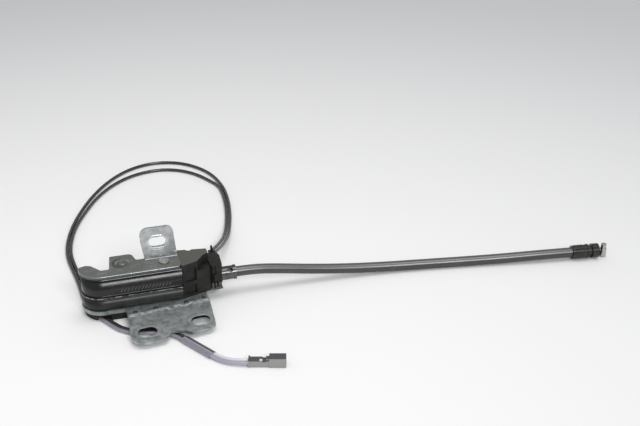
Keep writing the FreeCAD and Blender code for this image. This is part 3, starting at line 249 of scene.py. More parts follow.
FINISHES = {
    # Cold-rolled steel, zinc plated and passivated; stamped, so it keeps fine rolling lines.
    "zinc_plate": Finish(
        "zinc_plated_steel", tint="#c0c4c5", worn="#a1a5a6", metallic=1.0, smooth=0.26, rough=0.44,
        patch_mm=4.0, patch_share=0.45, relief_mm=0.005, stretch=3.0,
    ),
    # Hot-dip galvanised sheet, handled and greasy: dull grey clouds over small spangles.
    "galvanised_plate": Finish(
        "galvanised_sheet", tint="#b6baba", worn="#9ea3a4", metallic=1.0, smooth=0.48, rough=0.64,
        patch_mm=3.0, patch_share=0.5, grain_mm=0.5, stretch=2.0,
    ),
    # Steel with a black coat that has worn off along its edge.
    "coated_plate": Finish(
        "black_coated_steel", tint="#141414", worn="#242423", rough=0.46, patch_mm=4.0, grain_mm=0.4,
        relief_mm=0.006,
    ),
    # Black acetal from a polished mould: deep black with broad soft mirrors.
    "gloss_casing": Finish(
        "polished_acetal", tint="#0a0a0b", worn="#171717", smooth=0.20, rough=0.27, patch_mm=12.0,
        patch_share=0.3, grain_mm=3.0, relief_mm=0.003,
    ),
    # The same acetal from a plainer mould, so that it mirrors less.
    "lower_casing": Finish(
        "black_acetal", tint="#0d0d0d", worn="#1b1b1a", smooth=0.28, rough=0.42, patch_mm=8.0,
        patch_share=0.35, grain_mm=0.5, relief_mm=0.006,
    ),
    # Glass-filled nylon with a fine eroded grain and a little dust.
    "matte_moulding": Finish(
        "filled_nylon", tint="#141412", worn="#24241f", smooth=0.48, rough=0.70, patch_mm=5.0,
        grain_mm=0.22, relief_mm=0.012, shine=0.35,
    ),
    # Hardened and phosphated strip, dull grey.
    "claw_steel": Finish(
        "hardened_steel", tint="#a3a19b", worn="#6f6d67", metallic=1.0, patch_mm=3.0, patch_share=0.5,
        grain_mm=0.2, relief_mm=0.006, stretch=3.0,
    ),
    # Polyester moulded over the claw, so that the striker lands softly.
    "claw_jacket": Finish(
        "overmoulded_polyester", tint="#141517", worn="#262627", smooth=0.28, rough=0.45, patch_mm=4.0,
        patch_share=0.3, relief_mm=0.006,
    ),
    # Cold-drawn wire with its die lines along it.
    "spring_steel": Finish(
        "drawn_spring_wire", tint="#a2a2a4", worn="#5c5b59", metallic=1.0, smooth=0.25, rough=0.45,
        patch_mm=2.0, grain_mm=0.2, relief_mm=0.004, stretch=4.0,
    ),
    # Zinc plated rivet, burnished by the riveting tool.
    "rivet_steel": Finish(
        "burnished_rivet", tint="#8b8c87", worn="#6d6e69", metallic=1.0, smooth=0.26, rough=0.42,
        patch_mm=2.0, patch_share=0.3, grain_mm=0.2, relief_mm=0.003,
    ),
    # Soft rubber: no mirror to speak of.
    "stop_rubber": Finish(
        "soft_rubber", tint="#121212", worn="#20201f", smooth=0.60, rough=0.80, patch_mm=2.0,
        grain_mm=0.2, shine=0.3,
    ),
    # Turned and zinc plated steel gone dull.
    "ferrule_steel": Finish(
        "dull_zinc", tint="#686867", worn="#50504e", metallic=1.0, smooth=0.20, rough=0.30,
        patch_share=0.45, grain_mm=0.2, relief_mm=0.005,
    ),
    # Crimped steel under black lacquer, which mirrors softly.
    "black_ferrule": Finish(
        "black_lacquered_steel", tint="#161615", worn="#2d2c29", smooth=0.18, rough=0.32, patch_mm=2.5,
        relief_mm=0.006,
    ),
    # Galvanised wire of the inner cable, bright on top of its strands.
    "cable_wire": Finish(
        "stranded_steel", tint="#bdbdba", worn="#706f6c", metallic=1.0, smooth=0.28, rough=0.45,
        patch_mm=1.0,
    ),
    # Grey polyamide from a textured mould, dull and even.
    "plug_plastic": Finish(
        "grey_polyamide", tint="#4c4f4f", worn="#434545", smooth=0.38, rough=0.58, patch_mm=2.5,
        grain_mm=0.2, relief_mm=0.008,
    ),
    # Stamped brass strip, yellow and clean.
    "terminal_brass": Finish(
        "brass_strip", tint="#d8b46a", worn="#9c7d48", metallic=1.0, smooth=0.25, rough=0.4,
        patch_mm=1.5, grain_mm=0.2, relief_mm=0.003,
    ),
    # Black polyester of the switch and the tie, satin from its mould.
    "switch_plastic": Finish(
        "black_polyester", tint="#131313", worn="#232323", smooth=0.35, rough=0.55, patch_mm=2.0,
        grain_mm=0.2, relief_mm=0.006, shine=0.4,
    ),
    # Extruded polyethylene, smooth and glossy along its length.
    "sheath": Finish(
        "extruded_sheath", tint="#19191a", worn="#262626", smooth=0.26, rough=0.32, patch_mm=14.0,
        grain_mm=9.0, relief_mm=0.001, stretch=6.0, shine=1.0,
    ),
    # Soft vinyl wire jackets, glossy, and black where dirt lies on them.
    "black_insulation": Finish(
        "black_wire_jacket", tint="#121214", worn="#202023", smooth=0.20, rough=0.26, patch_share=0.3,
        grain_mm=6.0, relief_mm=0.001, shine=1.0,
    ),
    "grey_insulation": Finish(
        "grey_wire_jacket", tint="#121214", worn="#202023", smooth=0.20, rough=0.26, patch_share=0.3,
        grain_mm=6.0, relief_mm=0.001, shine=1.0,
    ),
}


class Step(Enum):
    """Nodes that the finishes and the room are built from, each with its settings."""

    COORDINATES = ("ShaderNodeTexCoord",)
    GEOMETRY = ("ShaderNodeNewGeometry",)
    SHADER = ("ShaderNodeBsdfPrincipled",)
    MATERIAL_OUTPUT = ("ShaderNodeOutputMaterial",)
    GLOW = ("ShaderNodeBackground",)
    WORLD_OUTPUT = ("ShaderNodeOutputWorld",)
    SPLIT = ("ShaderNodeSeparateXYZ",)
    SCALED_PLACE = ("ShaderNodeMapping",)
    CLOUDS = ("ShaderNodeTexNoise",)
    RELIEF = ("ShaderNodeBump",)
    BLEND = ("ShaderNodeMix", ("data_type", "RGBA"))
    RANGE = ("ShaderNodeMapRange",)
    SOFT_RANGE = ("ShaderNodeMapRange", ("interpolation_type", "SMOOTHSTEP"))
    ADD = ("ShaderNodeMath", ("operation", "ADD"))
    TAKE = ("ShaderNodeMath", ("operation", "SUBTRACT"))
    TIMES = ("ShaderNodeMath", ("operation", "MULTIPLY"))
    POWER = ("ShaderNodeMath", ("operation", "POWER"))
    LARGER = ("ShaderNodeMath", ("operation", "MAXIMUM"))
    APART = ("ShaderNodeVectorMath", ("operation", "SUBTRACT"))
    AXES_TIMES = ("ShaderNodeVectorMath", ("operation", "MULTIPLY"))
    LENGTH = ("ShaderNodeVectorMath", ("operation", "LENGTH"))
    DOT = ("ShaderNodeVectorMath", ("operation", "DOT_PRODUCT"))


def linear(colour: str) -> tuple:
    """Turn an sRGB hex colour into the linear values that shaders take.

    A channel up to 0.04045 is divided by 12.92. Above that, 0.055 is added, the sum is divided by
    1.055 and raised to the power 2.4.

    Args:
        colour: text such as "#a0b0c0".

    Returns:
        Red, green, blue and an alpha of 1.
    """
    channels = []
    for start in (1, 3, 5):
        value = int(colour[start:start + 2], 16) / 255
        channels.append(value / 12.92 if value <= 0.04045 else ((value + 0.055) / 1.055) ** 2.4)
    return (*channels, 1.0)


class Tree:
    """Node tree of a material or of the world, built by short calls."""

    def __init__(self, owner: bpy.types.ID) -> None:
        """Clear the owner's tree.

        Args:
            owner: the material or the world that the tree belongs to.
        """
        owner.use_nodes = True
        self.tree = owner.node_tree
        self.tree.nodes.clear()

    def node(self, step: Step, *values: object, **named: object) -> bpy.types.Node:
        """Add a node with its settings, and fill or link its inputs.

        Args:
            step: the node's kind and settings.
            values: what goes into its inputs, in their order.
            named: what goes into inputs that are given by name.

        Returns:
            The new node.
        """
        kind, *settings = step.value
        made = self.tree.nodes.new(kind)
        for name, value in settings:
            setattr(made, name, value)
        for target, value in zip((socket for socket in made.inputs if socket.enabled), values):
            self.feed(value, target)
        for name, value in named.items():
            self.feed(value, made.inputs[name])
        return made

    def feed(self, value: object, target: bpy.types.NodeSocket) -> None:
        """Give an input its value.

        Args:
            value: a number, a colour, another node's output, or a node, whose first output is taken.
            target: the input.
        """
        if isinstance(value, bpy.types.Node):
            value = next(socket for socket in value.outputs if socket.enabled)
        if isinstance(value, bpy.types.NodeSocket):
            self.tree.links.new(value, target)
        else:
            target.default_value = value


class Surface(Tree):
    """One material, with what its finish is painted and carved by."""

    def __init__(self, name: str) -> None:
        """Start the material with a shader, the object's coordinates and the true normal.

        Args:
            name: what the real material is.
        """
        self.material = bpy.data.materials.new(name)
        super().__init__(self.material)
        self.shader = self.node(Step.SHADER)
        self.node(Step.MATERIAL_OUTPUT, Surface=self.shader)
        self.coords = self.node(Step.COORDINATES).outputs["Object"]
        self.places = self.node(Step.SPLIT, self.coords).outputs
        self.normals = self.node(Step.SPLIT, self.node(Step.GEOMETRY).outputs["True Normal"]).outputs

    def noise(self, size_mm: float, stretch: float = 1.0, detail: float = 4.0) -> bpy.types.Node:
        """Make a cloudy pattern with features of a real size.

        Args:
            size_mm: the features' size across X.
            stretch: how much longer they are along X.
            detail: how many times finer clouds lie on top.

        Returns:
            The pattern, from 0 to 1.
        """
        per_metre = 1.0 / (size_mm * MM)
        spread = self.node(Step.SCALED_PLACE, self.coords, Scale=(per_metre / stretch, per_metre, per_metre))
        return self.node(Step.CLOUDS, spread, Scale=1.0, Detail=detail, Roughness=0.6)

    def window(self, value: object, low: float, high: float, soft: float) -> bpy.types.Node:
        """Make a share that is 1 inside a range and 0 outside it.

        Args:
            value: what is compared with the range.
            low: where the range starts.
            high: where it ends.
            soft: how far each end fades to both sides.

        Returns:
            The share.
        """
        rise = self.node(Step.SOFT_RANGE, value, low - soft, low + soft)
        fall = self.node(Step.SOFT_RANGE, value, high - soft, high + soft, 1.0, 0.0)
        return self.node(Step.TIMES, rise, fall)

    def all_of(self, *shares: object) -> object:
        """Multiply several shares.

        Args:
            shares: the shares.

        Returns:
            Their product.
        """
        total = shares[0]
        for share in shares[1:]:
            total = self.node(Step.TIMES, total, share)
        return total

    def distance(self, centre: tuple, squash: tuple = (1.0, 1.0, 1.0)) -> bpy.types.Node:
        """Distance from a point in metres, with each axis measured at its own scale."""
        apart = self.node(Step.APART, self.coords, centre)
        return self.node(Step.LENGTH, self.node(Step.AXES_TIMES, apart, squash))

    def along(self, origin: tuple, direction: tuple) -> bpy.types.Node:
        """How far a place is along a direction from an origin, in metres."""
        return self.node(Step.DOT, self.node(Step.APART, self.coords, origin), direction)

    def paint(self, share: object, colour: Paint, strength: float = 1.0) -> None:
        """Lay a colour over the base colour.

        Args:
            share: where it lies, from 0 to 1.
            colour: the colour.
            strength: how much of it shows where the share is 1.
        """
        socket = self.shader.inputs["Base Color"]
        if strength < 1.0:
            share = self.node(Step.TIMES, share, strength)
        self.feed(self.node(Step.BLEND, share, socket.links[0].from_socket, linear(colour.value)), socket)

    def dull(self, share: object, strength: float) -> None:
        """Make a metal less metallic where grease covers it, and where a painted highlight lies on it."""
        bare = self.node(Step.TAKE, 1.0, self.node(Step.TIMES, share, strength))
        self.feed(bare, self.shader.inputs["Metallic"])

    def carve(self, height: object, depth_mm: float) -> None:
        """Add relief to what the normal has so far.

        Args:
            height: the relief, from 0 to 1.
            depth_mm: how deep it is.
        """
        socket = self.shader.inputs["Normal"]
        made = self.node(Step.RELIEF, Height=height, Distance=depth_mm * MM)
        if socket.is_linked:
            self.feed(socket.links[0].from_socket, made.inputs["Normal"])
        self.feed(made, socket)


def surface_from(finish: Finish) -> Surface:
    """Build a finish: patches of wear or dust, changing roughness and a fine relief.

    Args:
        finish: the look to build.

    Returns:
        The finished surface, which a caller may add more to.
    """
    made = Surface(finish.name)
    # The noise lies around 0.5, so that the patches' share moves this middle to both sides of it.
    middle = 0.66 - 0.3 * finish.patch_share
    half = 0.16
    share = made.node(Step.SOFT_RANGE, made.noise(finish.patch_mm, detail=6.0), middle - half, middle + half)
    colour = made.node(Step.BLEND, share, linear(finish.tint), linear(finish.worn))
    grain = made.noise(finish.grain_mm, finish.stretch, detail=3.0)
    roughness = made.node(Step.SOFT_RANGE, grain, 0.3, 0.7, finish.smooth, finish.rough)
    for name, value in (
        ("Base Color", colour), ("Roughness", roughness),
        ("Metallic", finish.metallic), ("Specular IOR Level", finish.shine),
    ):
        made.feed(value, made.shader.inputs[name])
    made.carve(grain, finish.relief_mm)
    return made


def crown(made: Surface, from_z: float, to_z: float, slope: float) -> None:
    """Shade an upright moulded wall as if it leaned back more and more towards its top.

    The carved height falls with the square of how far up the wall a place is.

    Args:
        made: the wall's surface.
        from_z: height in metres where the lean starts.
        to_z: height where it is steepest.
        slope: lean at the top, as a gradient.
    """
    rise = made.node(Step.RANGE, made.places["Z"], from_z, to_z)
    fall = made.node(Step.TAKE, 1.0, made.node(Step.POWER, rise, 2.0))
    made.carve(fall, slope * (to_z - from_z) / MM / 2)


def finish_top_plate(made: Surface) -> None:
    """Greasy dark top face, pale tab with a ring round its slot, and marks round the rivets.

    Args:
        made: the top plate's surface.
    """
    flat = made.node(Step.SOFT_RANGE, made.normals["Z"], 0.55, 0.95)
    low = made.node(Step.SOFT_RANGE, made.places["Z"], TAB_START_Z - 0.0010, TAB_START_Z, 1.0, 0.0)
    high = made.node(Step.SOFT_RANGE, made.places["Z"], TAB_START_Z, TAB_START_Z + 0.0006)

    grease = made.all_of(flat, low)
    smear = made.node(Step.SOFT_RANGE, made.noise(7.0, detail=5.0), 0.25, 0.55, 0.8, 1.0)
    made.paint(made.all_of(grease, smear), Paint.GREASE)
    made.dull(grease, 0.65)
    rough = made.shader.inputs["Roughness"]
    made.feed(made.node(Step.ADD, rough.links[0].from_socket, made.node(Step.TIMES, grease, 0.2)), rough)

    edge = made.all_of(made.node(Step.SOFT_RANGE, made.normals["Z"], 0.2, 0.5, 1.0, 0.0), low)
    upper_rim = made.node(Step.SOFT_RANGE, made.places["Z"], 0.0333, 0.0338)
    made.paint(edge, Paint.CUT_EDGE)
    # Painted highlight: a pale line along the upper rim of the plate's cut edge.
    made.paint(made.all_of(edge, upper_rim), Paint.EDGE_RIM_HIGHLIGHT)

    ear = made.distance(EAR_RIVET, FLATTENED)
    left = made.node(Step.SOFT_RANGE, made.places["X"], -0.001, 0.001, 1.0, 0.0)
    # A darker arc round the ear's rivet, on the plate's left of it.
    made.paint(made.all_of(made.window(ear, *EAR_DARKENING), left, flat), Paint.EAR_DARKENING)
    made.carve(made.node(Step.SOFT_RANGE, ear, 0.0046, 0.0056), 0.4)
    behind = made.node(Step.SOFT_RANGE, made.places["Y"], -0.001, 0.001)
    for centre in (EAR_RIVET, PAWL_RIVET):
        ring = made.window(made.distance(centre, FLATTENED), *RIVET_RING)
        made.paint(made.all_of(ring, flat, behind), Paint.RIVET_RING)

    oval = made.window(made.distance(TAB_SLOT, (0.72, 0.0, 1.0)), *TAB_OVAL)
    made.paint(made.all_of(oval, high), Paint.TAB_OVAL, 0.9)
    right = made.node(Step.SOFT_RANGE, made.places["X"], 0.024, 0.036)
    foot = made.node(Step.SOFT_RANGE, made.places["Z"], 0.037, 0.052, 1.0, 0.0)
    made.paint(made.all_of(high, right, foot), Paint.TAB_SHADE, 0.6)
    # Painted highlight along the tab's bend, streaked like scuffs.
    bend = made.window(made.places["Z"], *TAB_BEND)
    bend_streaks = made.node(Step.SOFT_RANGE, made.noise(1.6, 2.0), 0.52, 0.62)
    made.paint(made.all_of(bend, bend_streaks), Paint.BEND_HIGHLIGHT)


def finish_flange(made: Surface) -> None:
    """Clouded zinc with marks of old washers, painted shade on the slots' walls, and a painted highlight on
    the fold and under its darts.

    Args:
        made: the bottom plate's surface.
    """
    for size_mm, detail, low, high, colour, strength in (
        (4.5, 5.0, 0.42, 0.72, Paint.DARK_CLOUD, 1.0),
        (8.0, 2.0, 0.50, 0.70, Paint.PALE_CLOUD, 0.5),
        (0.9, 2.0, 0.66, 0.74, Paint.PALE_SPECK, 0.7),
        (1.3, 3.0, 0.66, 0.74, Paint.DARK_SPECK, 0.6),
    ):
        clouds = made.noise(size_mm, detail=detail)
        made.paint(made.node(Step.SOFT_RANGE, clouds, low, high), colour, strength)

    cut = made.node(Step.SOFT_RANGE, made.normals["Z"], 0.4, 0.7, 1.0, 0.0)
    for centre in FLANGE_SLOTS:
        away = made.distance(centre, (0.8, 1.0, 0.0))
        made.paint(made.window(away, *WASHER_MARK), Paint.WASHER_MARK, 0.45)
        made.paint(made.window(away, *WASHER_EDGE), Paint.WASHER_EDGE, 0.4)
        # Painted shade: the cut walls inside each slot are darkened as if in shadow.
        near = made.node(Step.SOFT_RANGE, away, 0.0056, 0.0060, 1.0, 0.0)
        made.paint(made.all_of(cut, near), Paint.SLOT_WALL_SHADE)

    # Painted highlight: a pale, less metallic band along the fold, broken up by a scuffed pattern, and spots
    # under the darts.
    fold = made.along(FLANGE_CORNER, FOLD_ACROSS)
    scuffed = made.node(Step.SOFT_RANGE, made.noise(2.4, 1.5, detail=5.0), 0.42, 0.58)
    fold_highlight = made.all_of(made.window(fold, *FOLD_HIGHLIGHT_BAND), scuffed)
    for x, y in FOLD_DARTS:
        below = made.distance((x, y - 0.0022, 0.0), FLATTENED)
        fold_highlight = made.node(Step.LARGER, fold_highlight, made.node(Step.SOFT_RANGE, below, 0.0007, 0.0015, 1.0, 0.0))
    made.paint(fold_highlight, Paint.FOLD_HIGHLIGHT, 0.75)
    made.dull(fold_highlight, 0.7)
    for x, y in FOLD_DARTS:
        away = made.distance((x, y, 0.0), (1.0, 0.8, 0.0))
        made.paint(made.node(Step.SOFT_RANGE, away, 0.0012, 0.0021, 1.0, 0.0), Paint.DART_SHADE, 0.8)


def finish_upper_casing(made: Surface) -> None:
    """Paint a highlight on the beads and ribs, which stand out from the front, and crown the wall.

    Args:
        made: the casing's surface.
    """
    # Painted highlight on the proud beads and ribs, standing in for the light that they catch.
    raised = made.node(Step.SOFT_RANGE, made.places["Y"], -0.01442, -0.01434, 1.0, 0.0)
    made.paint(raised, Paint.RIDGE_HIGHLIGHT, 0.6)
    crown(made, 0.0210, 0.0300, 0.85)


def finish_middle_plate(made: Surface) -> None:
    """A thin scuffed line of bare metal along the coated plate's edge.

    Args:
        made: the middle plate's surface.
    """
    line = made.window(made.places["Z"], *PLATE_LINE)
    scuffs = made.node(Step.SOFT_RANGE, made.noise(1.6, 3.0, detail=3.0), 0.44, 0.54)
    made.paint(made.all_of(line, scuffs), Paint.BARE_STEEL, 0.8)


def finish_housing(made: Surface) -> None:
    """Housing whose upward top faces are painted greyer than its sides.

    Args:
        made: the mouldings' surface.
    """
    # Upward-facing top faces are painted a lighter grey.
    upwards = made.node(Step.SOFT_RANGE, made.normals["Z"], 0.6, 0.9)
    top = made.node(Step.SOFT_RANGE, made.places["Z"], 0.0322, 0.0328)
    made.paint(made.all_of(upwards, top), Paint.HOUSING_TOP_GREY, 0.9)


def finish_leads(grey: Surface, black: Surface, sheath: Surface) -> None:
    """A painted highlight along the sheath's upper side, leads with their own colours ahead of the nose, and
    a two-tone sleeve.

    Args:
        grey: the grey lead's surface, which dirt blackens in the loop.
        black: the black lead's surface, which is pale past the sleeve.
        sheath: the surface of the release cable and of the lead sleeve.
    """
    grey.paint(grey.node(Step.SOFT_RANGE, grey.places["Y"], -0.020, -0.008, 1.0, 0.0), Paint.GREY_AHEAD)
    for lead, colour in ((grey, Paint.GREY_END), (black, Paint.BLACK_END)):
        past_sleeve = lead.node(Step.SOFT_RANGE, lead.places["Y"], -0.0720, -0.0700, 1.0, 0.0)
        lead.paint(past_sleeve, colour)

    # Painted highlight: a lighter band on the sheath's upward-facing side.
    sheath.paint(sheath.window(sheath.normals["Z"], 0.45, 0.97, 0.12), Paint.SHEATH_HIGHLIGHT, 0.6)
    side = sheath.along(SLEEVE_MIDDLE, SLEEVE_SIDE)
    sleeve = sheath.node(Step.SOFT_RANGE, sheath.distance(SLEEVE_MIDDLE), 0.030, 0.032, 1.0, 0.0)
    sheath.paint(sleeve, Paint.SLEEVE)
    sheath.paint(sheath.all_of(sheath.node(Step.SOFT_RANGE, side, 0.0002, 0.0006), sleeve), Paint.SLEEVE_SIDE)
    sheath.paint(sheath.all_of(sheath.window(side, *SLEEVE_GLINT), sleeve), Paint.SLEEVE_GLINT)


def finish_plug(made: Surface) -> None:
    """Painted light that makes the side faces lighter than the top, and a pale mark in the notch behind the
    front half.

    Args:
        made: the plug's surface.
    """
    # Painted light: faces that don't face up are lighter than the top.
    made.paint(made.node(Step.SOFT_RANGE, made.normals["Z"], 0.3, 0.7, 1.0, 0.0), Paint.PLUG_SIDE_LIGHT)
    mark = made.all_of(
        made.window(made.along(PLUG_START, PLUG_ALONG), *PLUG_NOTCH[0]),
        made.window(made.along(PLUG_START, PLUG_ACROSS), *PLUG_NOTCH[1]),
        made.node(Step.SOFT_RANGE, made.places["Z"], 0.0034, 0.0038),
    )
    made.paint(mark, Paint.PLUG_MARK)


def finish_barrel(made: Surface) -> None:
    """Brighter zinc painted over the cable's far end."""
    # The far end is painted brighter than the near ferrule of the same zinc.
    made.paint(made.node(Step.SOFT_RANGE, made.places["X"], 0.30, 0.31), Paint.FAR_END_ZINC)


class Library:
    """All materials of the latch, by the record's slot name."""

    def __init__(self) -> None:
        """Build every finish and add what only one piece has."""
        self.surfaces = {slot: surface_from(finish) for slot, finish in FINISHES.items()}
        for add_to, *slots in (
            (finish_top_plate, "zinc_plate"),
            (finish_flange, "galvanised_plate"),
            (finish_upper_casing, "gloss_casing"),
            (finish_middle_plate, "coated_plate"),
            (finish_housing, "matte_moulding"),
            (finish_leads, "grey_insulation", "black_insulation", "sheath"),
            (finish_plug, "plug_plastic"),
            (finish_barrel, "ferrule_steel"),
        ):
            add_to(*(self.surfaces[slot] for slot in slots))
        crown(self.surfaces["lower_casing"], 0.0095, 0.0150, 0.7)

    def dress(self, thing: bpy.types.Object, slot: str) -> None:
        """Give an object the material of a slot, in every place it has.

        Args:
            thing: the object.
            slot: the record's name for the material.
        """
        material = self.surfaces[slot].material
        if not thing.data.materials:
            thing.data.materials.append(material)
        for index in range(len(thing.data.materials)):
            thing.data.materials[index] = material


@dataclass
class Studio:
    """Camera, floor and plain soft light."""

    view: Camera
    floor_half: float = 6.0
    floor_drop: float = 0.0002
    light_pool_centre: tuple = (-0.03, -0.11, 0.0)
    light_pool_reach: float = 1.05
    horizon_light: float = 0.58
    zenith_light: float = 0.68
    lamps: tuple = (
        Softbox("overhead_softbox", (0.30, -0.25, 3.0), (2.2, 1.5), 28.0, (0.09, 0.02, 0.0)),
        Softbox("front_softbox", (0.50, -2.9, 2.1), (1.3, 0.75), 42.0, (0.06, 0.0, 0.01)),
    )

    def build(self) -> None:
        """Make everything that isn't the latch."""
        self.add_camera()
        self.add_floor()
        for lamp in self.lamps:
            self.add_light(lamp)
        self.set_world()

    def add_camera(self) -> None:
        """Place the camera that took the photograph."""
        data = bpy.data.cameras.new("photo_camera")
        data.sensor_fit = "HORIZONTAL"
        data.sensor_width = self.view.sensor_mm
        data.lens = self.view.sensor_mm * self.view.focal_pixels / IMAGE_WIDTH
        data.clip_start = 0.01
        camera = bpy.data.objects.new("photo_camera", data)
        camera.location = self.view.place
        tilt, turn = math.radians(self.view.tilt_degrees), math.radians(self.view.turn_degrees)
        camera.rotation_euler = (tilt, 0.0, turn)
        bpy.context.scene.collection.objects.link(camera)
        bpy.context.scene.camera = camera

    def add_floor(self) -> None:
        """Lay a wide white card under the latch, which is greyer the farther it is from the front, as a
        painted pool of light.
        """
        half = self.floor_half
        corners = [(x * half, y * half, -self.floor_drop) for x, y in ((-1, -1), (1, -1), (1, 1), (-1, 1))]
        mesh = bpy.data.meshes.new("floor")
        mesh.from_pydata(corners, [], [(0, 1, 2, 3)])
        floor = bpy.data.objects.new("floor", mesh)
        bpy.context.scene.collection.objects.link(floor)
        sheet = Surface("white_card")
        # Painted pool of light: the card greys with distance from a point in front of the latch.
        away = sheet.node(Step.SOFT_RANGE, sheet.distance(self.light_pool_centre), 0.0, self.light_pool_reach)
        tint = sheet.node(Step.BLEND, away, linear(Paint.CARD_FRONT.value), linear(Paint.CARD_FALLOFF.value))
        sheet.feed(tint, sheet.shader.inputs["Base Color"])
        sheet.feed(0.9, sheet.shader.inputs["Roughness"])
        mesh.materials.append(sheet.material)

    def add_light(self, lamp: Softbox) -> None:
        """Hang one softbox.

        Args:
            lamp: what it is, and where.
        """
        data = bpy.data.lights.new(lamp.name, "AREA")
        data.shape = "RECTANGLE"
        data.size, data.size_y = lamp.size
        data.energy = lamp.watts
        light = bpy.data.objects.new(lamp.name, data)
        light.location = lamp.place
        light.rotation_euler = (Vector(lamp.target) - Vector(lamp.place)).to_track_quat("-Z", "Y").to_euler()
        bpy.context.scene.collection.objects.link(light)

    def set_world(self) -> None:
        """Pale room, a little darker near the floor than overhead."""
        world = bpy.data.worlds.new("pale_room")
        room = Tree(world)
        height = room.node(Step.SPLIT, room.node(Step.COORDINATES).outputs["Generated"]).outputs["Z"]
        strength = room.node(Step.RANGE, height, 0.0, 1.0, self.horizon_light, self.zenith_light)
        room.node(Step.WORLD_OUTPUT, Surface=room.node(Step.GLOW, Strength=strength))
        bpy.context.scene.world = world


def skinned(grid: np.ndarray, ring: bool) -> tuple[np.ndarray, list]:
    """Turn a grid of points into a closed skin.

    A face joins a point, the next one in its row, and the two beside them in the next row. The
    volume's sign, from the points' triple products, tells whether the faces have to be turned.

    Args:
        grid: points by row, by column and by axis; each row is a closed loop.
        ring: True where the last row joins the first, otherwise both ends are capped.

    Returns:
        The points as one list, and the faces, which point outwards.
    """
    rows, columns = grid.shape[:2]
    spans = rows if ring else rows - 1
    row = np.repeat(np.arange(spans), columns)
    column = np.tile(np.arange(columns), spans)
    after = (row + 1) % rows
    beside = (column + 1) % columns
    quads = np.stack([
        row * columns + column, row * columns + beside, after * columns + beside, after * columns + column,
    ], axis=1)
    points = grid.reshape(-1, 3)
    a, b, c, d = (points[quads[:, i]] - points.mean(axis=0) for i in range(4))
    outward = np.einsum("ij,ij->", a, np.cross(b, c)) + np.einsum("ij,ij->", a, np.cross(c, d))
    faces = quads.tolist()
    if not ring:
        faces.append(list(range(columns))[::-1])
        faces.append(list(range((rows - 1) * columns, rows * columns)))
    if outward < 0:
        faces = [face[::-1] for face in faces]
    return points, faces


def carried(
    path: np.ndarray, up: np.ndarray, half_width: float, height: float, section: Section, ring: bool,
) -> tuple[np.ndarray, list]:
    """Carry a small cross-section along a path.

    Each row is the path's point, plus the section's width along the path's side, plus its height
    along the face's normal, where the side is the heading crossed with that normal.

    Args:
        path: points of the line, on the face that it stands on.
        up: the face's normal, one for the whole line or one per point.
        half_width: half the line's width.
        height: how far it stands out; as much again is sunk in the face.
        section: round or flat-topped.
        ring: True for a line that closes on itself.

    Returns:
        Points and faces of the line.
    """
    ahead = np.roll(path, -1, axis=0) - np.roll(path, 1, axis=0) if ring else np.gradient(path, axis=0)
    side = np.cross(ahead, up)
    side /= np.linalg.norm(side, axis=1, keepdims=True)
    turn = np.linspace(0.0, 2 * math.pi, 8, endpoint=False) + math.pi / 8
    across, above = np.cos(turn), np.sin(turn)
    # A larger octagon, cut off at the section's own size, has a flat top and upright sides.
    if section is Section.FLAT:
        across, above = np.clip(across * 1.4, -1, 1), np.clip(above * 1.4, -1, 1)
    up_rows = np.broadcast_to(up, path.shape)
    grid = path[:, None] + side[:, None] * across[None, :, None] * half_width
    return skinned(grid + up_rows[:, None] * above[None, :, None] * height, ring)


def turned(
    profile: np.ndarray, centre: np.ndarray, axis: np.ndarray, columns: int = 32,
) -> tuple[np.ndarray, list]:
    """Turn a profile of radius and height round an axis.

    Each point is the centre, plus the radius times a unit vector that goes round the axis, plus
    the height along the axis; both ends are capped.

    Args:
        profile: radius and height of each row.
        centre: where the height is 0.
        axis: direction of the height.
        columns: points round the axis.

    Returns:
        Points and faces of the turned piece.
    """
    axis = axis / np.linalg.norm(axis)
    first = np.cross(axis, (0.0, 1.0, 0.0) if abs(axis[1]) < 0.9 else (1.0, 0.0, 0.0))
    first /= np.linalg.norm(first)
    second = np.cross(axis, first)
    turn = np.linspace(0.0, 2 * math.pi, columns, endpoint=False)
    spoke = np.cos(turn)[:, None] * first + np.sin(turn)[:, None] * second
    grid = centre + profile[:, None, :1] * spoke[None] + profile[:, None, 1:] * axis
    return skinned(grid, False)


def stadium_loop(
    centre: np.ndarray, along: np.ndarray, across: np.ndarray, half_straight: float, radius: float,
) -> np.ndarray:
    """Draw a closed path of two half circles that straight runs join.

    A point of the first half is half a straight run plus the radius times its angle's cosine along,
    and the radius times its sine across; the second half is the same one turned by half a turn.

    Args:
        centre: the middle of the loop.
        along: unit vector of the straight runs.
        across: unit vector square to it.
        half_straight: half the length of a straight run.
        radius: the half circles' radius.

    Returns:
        The points of the path.
    """
    turn = np.linspace(-math.pi / 2, math.pi / 2, 17)
    right = np.stack([half_straight + radius * np.cos(turn), radius * np.sin(turn)], axis=1)
    loop = np.concatenate([right, -right])
    return centre + loop[:, :1] * along + loop[:, 1:] * across


